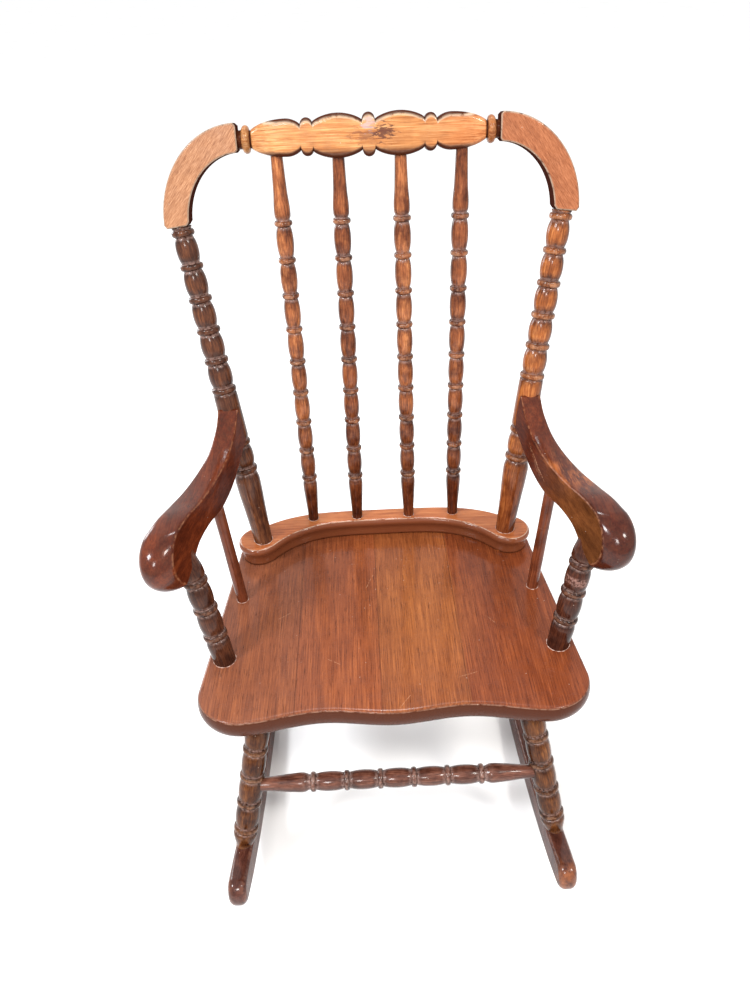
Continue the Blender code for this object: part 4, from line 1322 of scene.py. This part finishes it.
def build_base():
    legs = {}
    for side, word in SIDES:
        build_rocker(side, word)
        for end, top_x, top_y, foot_y in (
            ("front", LEG_TOP_X, FRONT_LEG_TOP_Y, FRONT_LEG_FOOT_Y),
            ("rear", REAR_LEG_TOP_X, REAR_LEG_TOP_Y, REAR_LEG_FOOT_Y),
        ):
            foot, top = leg_axis(side, top_x, top_y, foot_y)
            axis = (top - foot).normalized()
            legs[end, side] = foot + axis * STRETCHER_HEIGHT
            name = f"{end}_leg_{word}"
            wood = Wood(name + "_wood", LEG_LOOK, shift=(0.25 * side, 0.5 * foot_y, 0.2))
            turned(name, leg_profile((top - foot).length), foot, top, wood.finish(), "leg_wood")
            start = foot - axis * (ROCKER_HEIGHT + 0.003)
            build_screw(f"{end}_rocker_screw_{word}", start, foot + axis * 0.012, recess=0.007)
    for end, profile in (("front", front_stretcher_profile), ("rear", rear_stretcher_profile)):
        start, finish = legs[end, -1], legs[end, 1]
        inset = (finish - start).normalized() * (STRETCHER_TENON_DEPTH - LEG_RADIUS)
        start, finish = start - inset, finish + inset
        name = end + "_stretcher"
        wood = Wood(name + "_wood", STRETCHER_LOOK, shift=(0.1, 0.7, 0.4))
        shape = profile((finish - start).length)
        turned(name, shape, start, finish, wood.finish(), "stretcher_wood", 40)


# ---- Screws and plugs


def steel_material():
    shader = Shader("screw_steel")
    rust = shader.patches(shader.coords, 700, 0.42, 0.62, 5, 0.65)
    shader.put("Base Color", shader.mix(rust, (0.36, 0.35, 0.33, 1), (0.16, 0.12, 0.09, 1)))
    shader.put("Metallic", 1.0)
    shader.put("Roughness", shader.remap(shader.noise(shader.coords, 1600, 3), 0.3, 0.7, 0.28, 0.5))
    turned_lines = shader.noise(shader.mapped(shader.coords, scale=(1, 1, 6)), 1400, 3)
    shader.put("Normal", shader.bump(turned_lines, 0.25, 0.0001))
    return shader.material


STEEL = steel_material()


def build_screw(name, start, end, recess):
    """A countersunk wood screw with a cross recess in its head and a thread along its shank."""
    length = (end - start).length
    cross_depth, pitch, root = 0.0011, 0.0011, SCREW_SHANK * 0.76
    neck = recess + 0.0025
    rows = [(recess, SCREW_HEAD * share) for share in (0.12, 0.24, 0.34, 0.44, 0.54, 0.64, 0.74, 0.84, 0.94)]
    rows += [(recess + 0.0003, SCREW_HEAD), (neck, SCREW_SHANK)]
    thread = neck + 0.0015
    while thread < length - 0.0036:
        rows += [(thread, root), (thread + pitch * 0.35, SCREW_SHANK)]
        rows += [(thread + pitch * 0.5, SCREW_SHANK), (thread + pitch * 0.85, root)]
        thread += pitch
    rows += [(length - 0.0030, SCREW_SHANK * 0.7), (length, 0.0003)]
    sides = 40
    verts = []
    for height, radius in rows:
        for a in around(sides):
            x, y = radius * math.cos(a), radius * math.sin(a)
            in_cross = height == recess and min(abs(x), abs(y)) < 0.00055 and radius < 0.0026
            verts.append((x, y, height + (cross_depth if in_cross else 0.0)))
    faces = tube_faces(len(rows), sides) + end_fans(len(verts), sides)
    verts += [(0, 0, recess + cross_depth), (0, 0, length)]
    add_piece(name + "_steel", verts, faces, along(start, end), STEEL, name)


def build_arm_screws():
    profile = [
        (-0.0006, 0.0012), (-0.0005, 0.0022), (-0.0002, 0.0030), (0.0003, 0.0035), (0.0010, 0.0037),
        (0.0028, 0.0037), (0.0044, 0.0036),
    ]
    for side, word in SIDES:
        foot, top = post_axis(side)
        centre = foot + (top - foot).normalized() * 0.1530
        ahead = Vector((side * 0.16, -1, -0.02)).normalized()
        start, end = centre - ahead * 0.0125, centre + ahead * 0.036
        build_screw("arm_screw_" + word, start, end, recess=0.005)
        wood = Wood("plug_wood_" + word, DOWEL_LOOK, grain=0, shift=(0.4 * side, 0, 0.2))
        turned("arm_plug_" + word, profile, start, end, wood.finish(), "plug_wood", 28, "cap")


def build_block_screws():
    for name, x, y in (("left", -0.112, 0.050), ("middle", 0.0, 0.066), ("right", 0.112, 0.050)):
        start = on_seat(x, y, -SEAT_THICKNESS)
        build_screw("block_screw_" + name, start, on_seat(x, y, 0.013), recess=0.004)


# ---- The chair


def build_joint_residue(spindle_feet):
    inverse = SEAT_FRAME.inverted()

    def wax_ring(foot, axis, radius, height=0.0):
        return ring_path(inverse @ foot - Vector((0, 0, height)), inverse.to_3x3() @ axis, radius)

    block_top = GAP + BLOCK_HEIGHT
    rings = [wax_ring(foot, axis, SPINDLE_FOOT_RADIUS, block_top) for foot, axis in spindle_feet]
    for side, _ in SIDES:
        foot, top = post_axis(side)
        rings.append(wax_ring(foot, (top - foot).normalized(), POST_FOOT_RADIUS, block_top))
    build_residue("block_joint_wax", rings, block_top)
    rings = []
    for side, _ in SIDES:
        for ends, radius in ((ARM_POST, ARM_POST_FOOT_RADIUS), (ARM_DOWEL, ARM_DOWEL_RADIUS)):
            foot, top = on_side(side, ends)
            rings.append(wax_ring(foot, (top - foot).normalized(), radius))
    build_residue("seat_joint_wax", rings, 0.0)


def build_chair():
    build_seat()
    build_posts()
    feet = build_spindles()
    build_crest()
    build_corners()
    build_arms()
    build_base()
    build_arm_screws()
    build_block_screws()
    build_joint_residue(feet)


add_camera()
add_lights()
add_stage()
build_chair()
bpy.context.scene.view_settings.view_transform = "Standard"
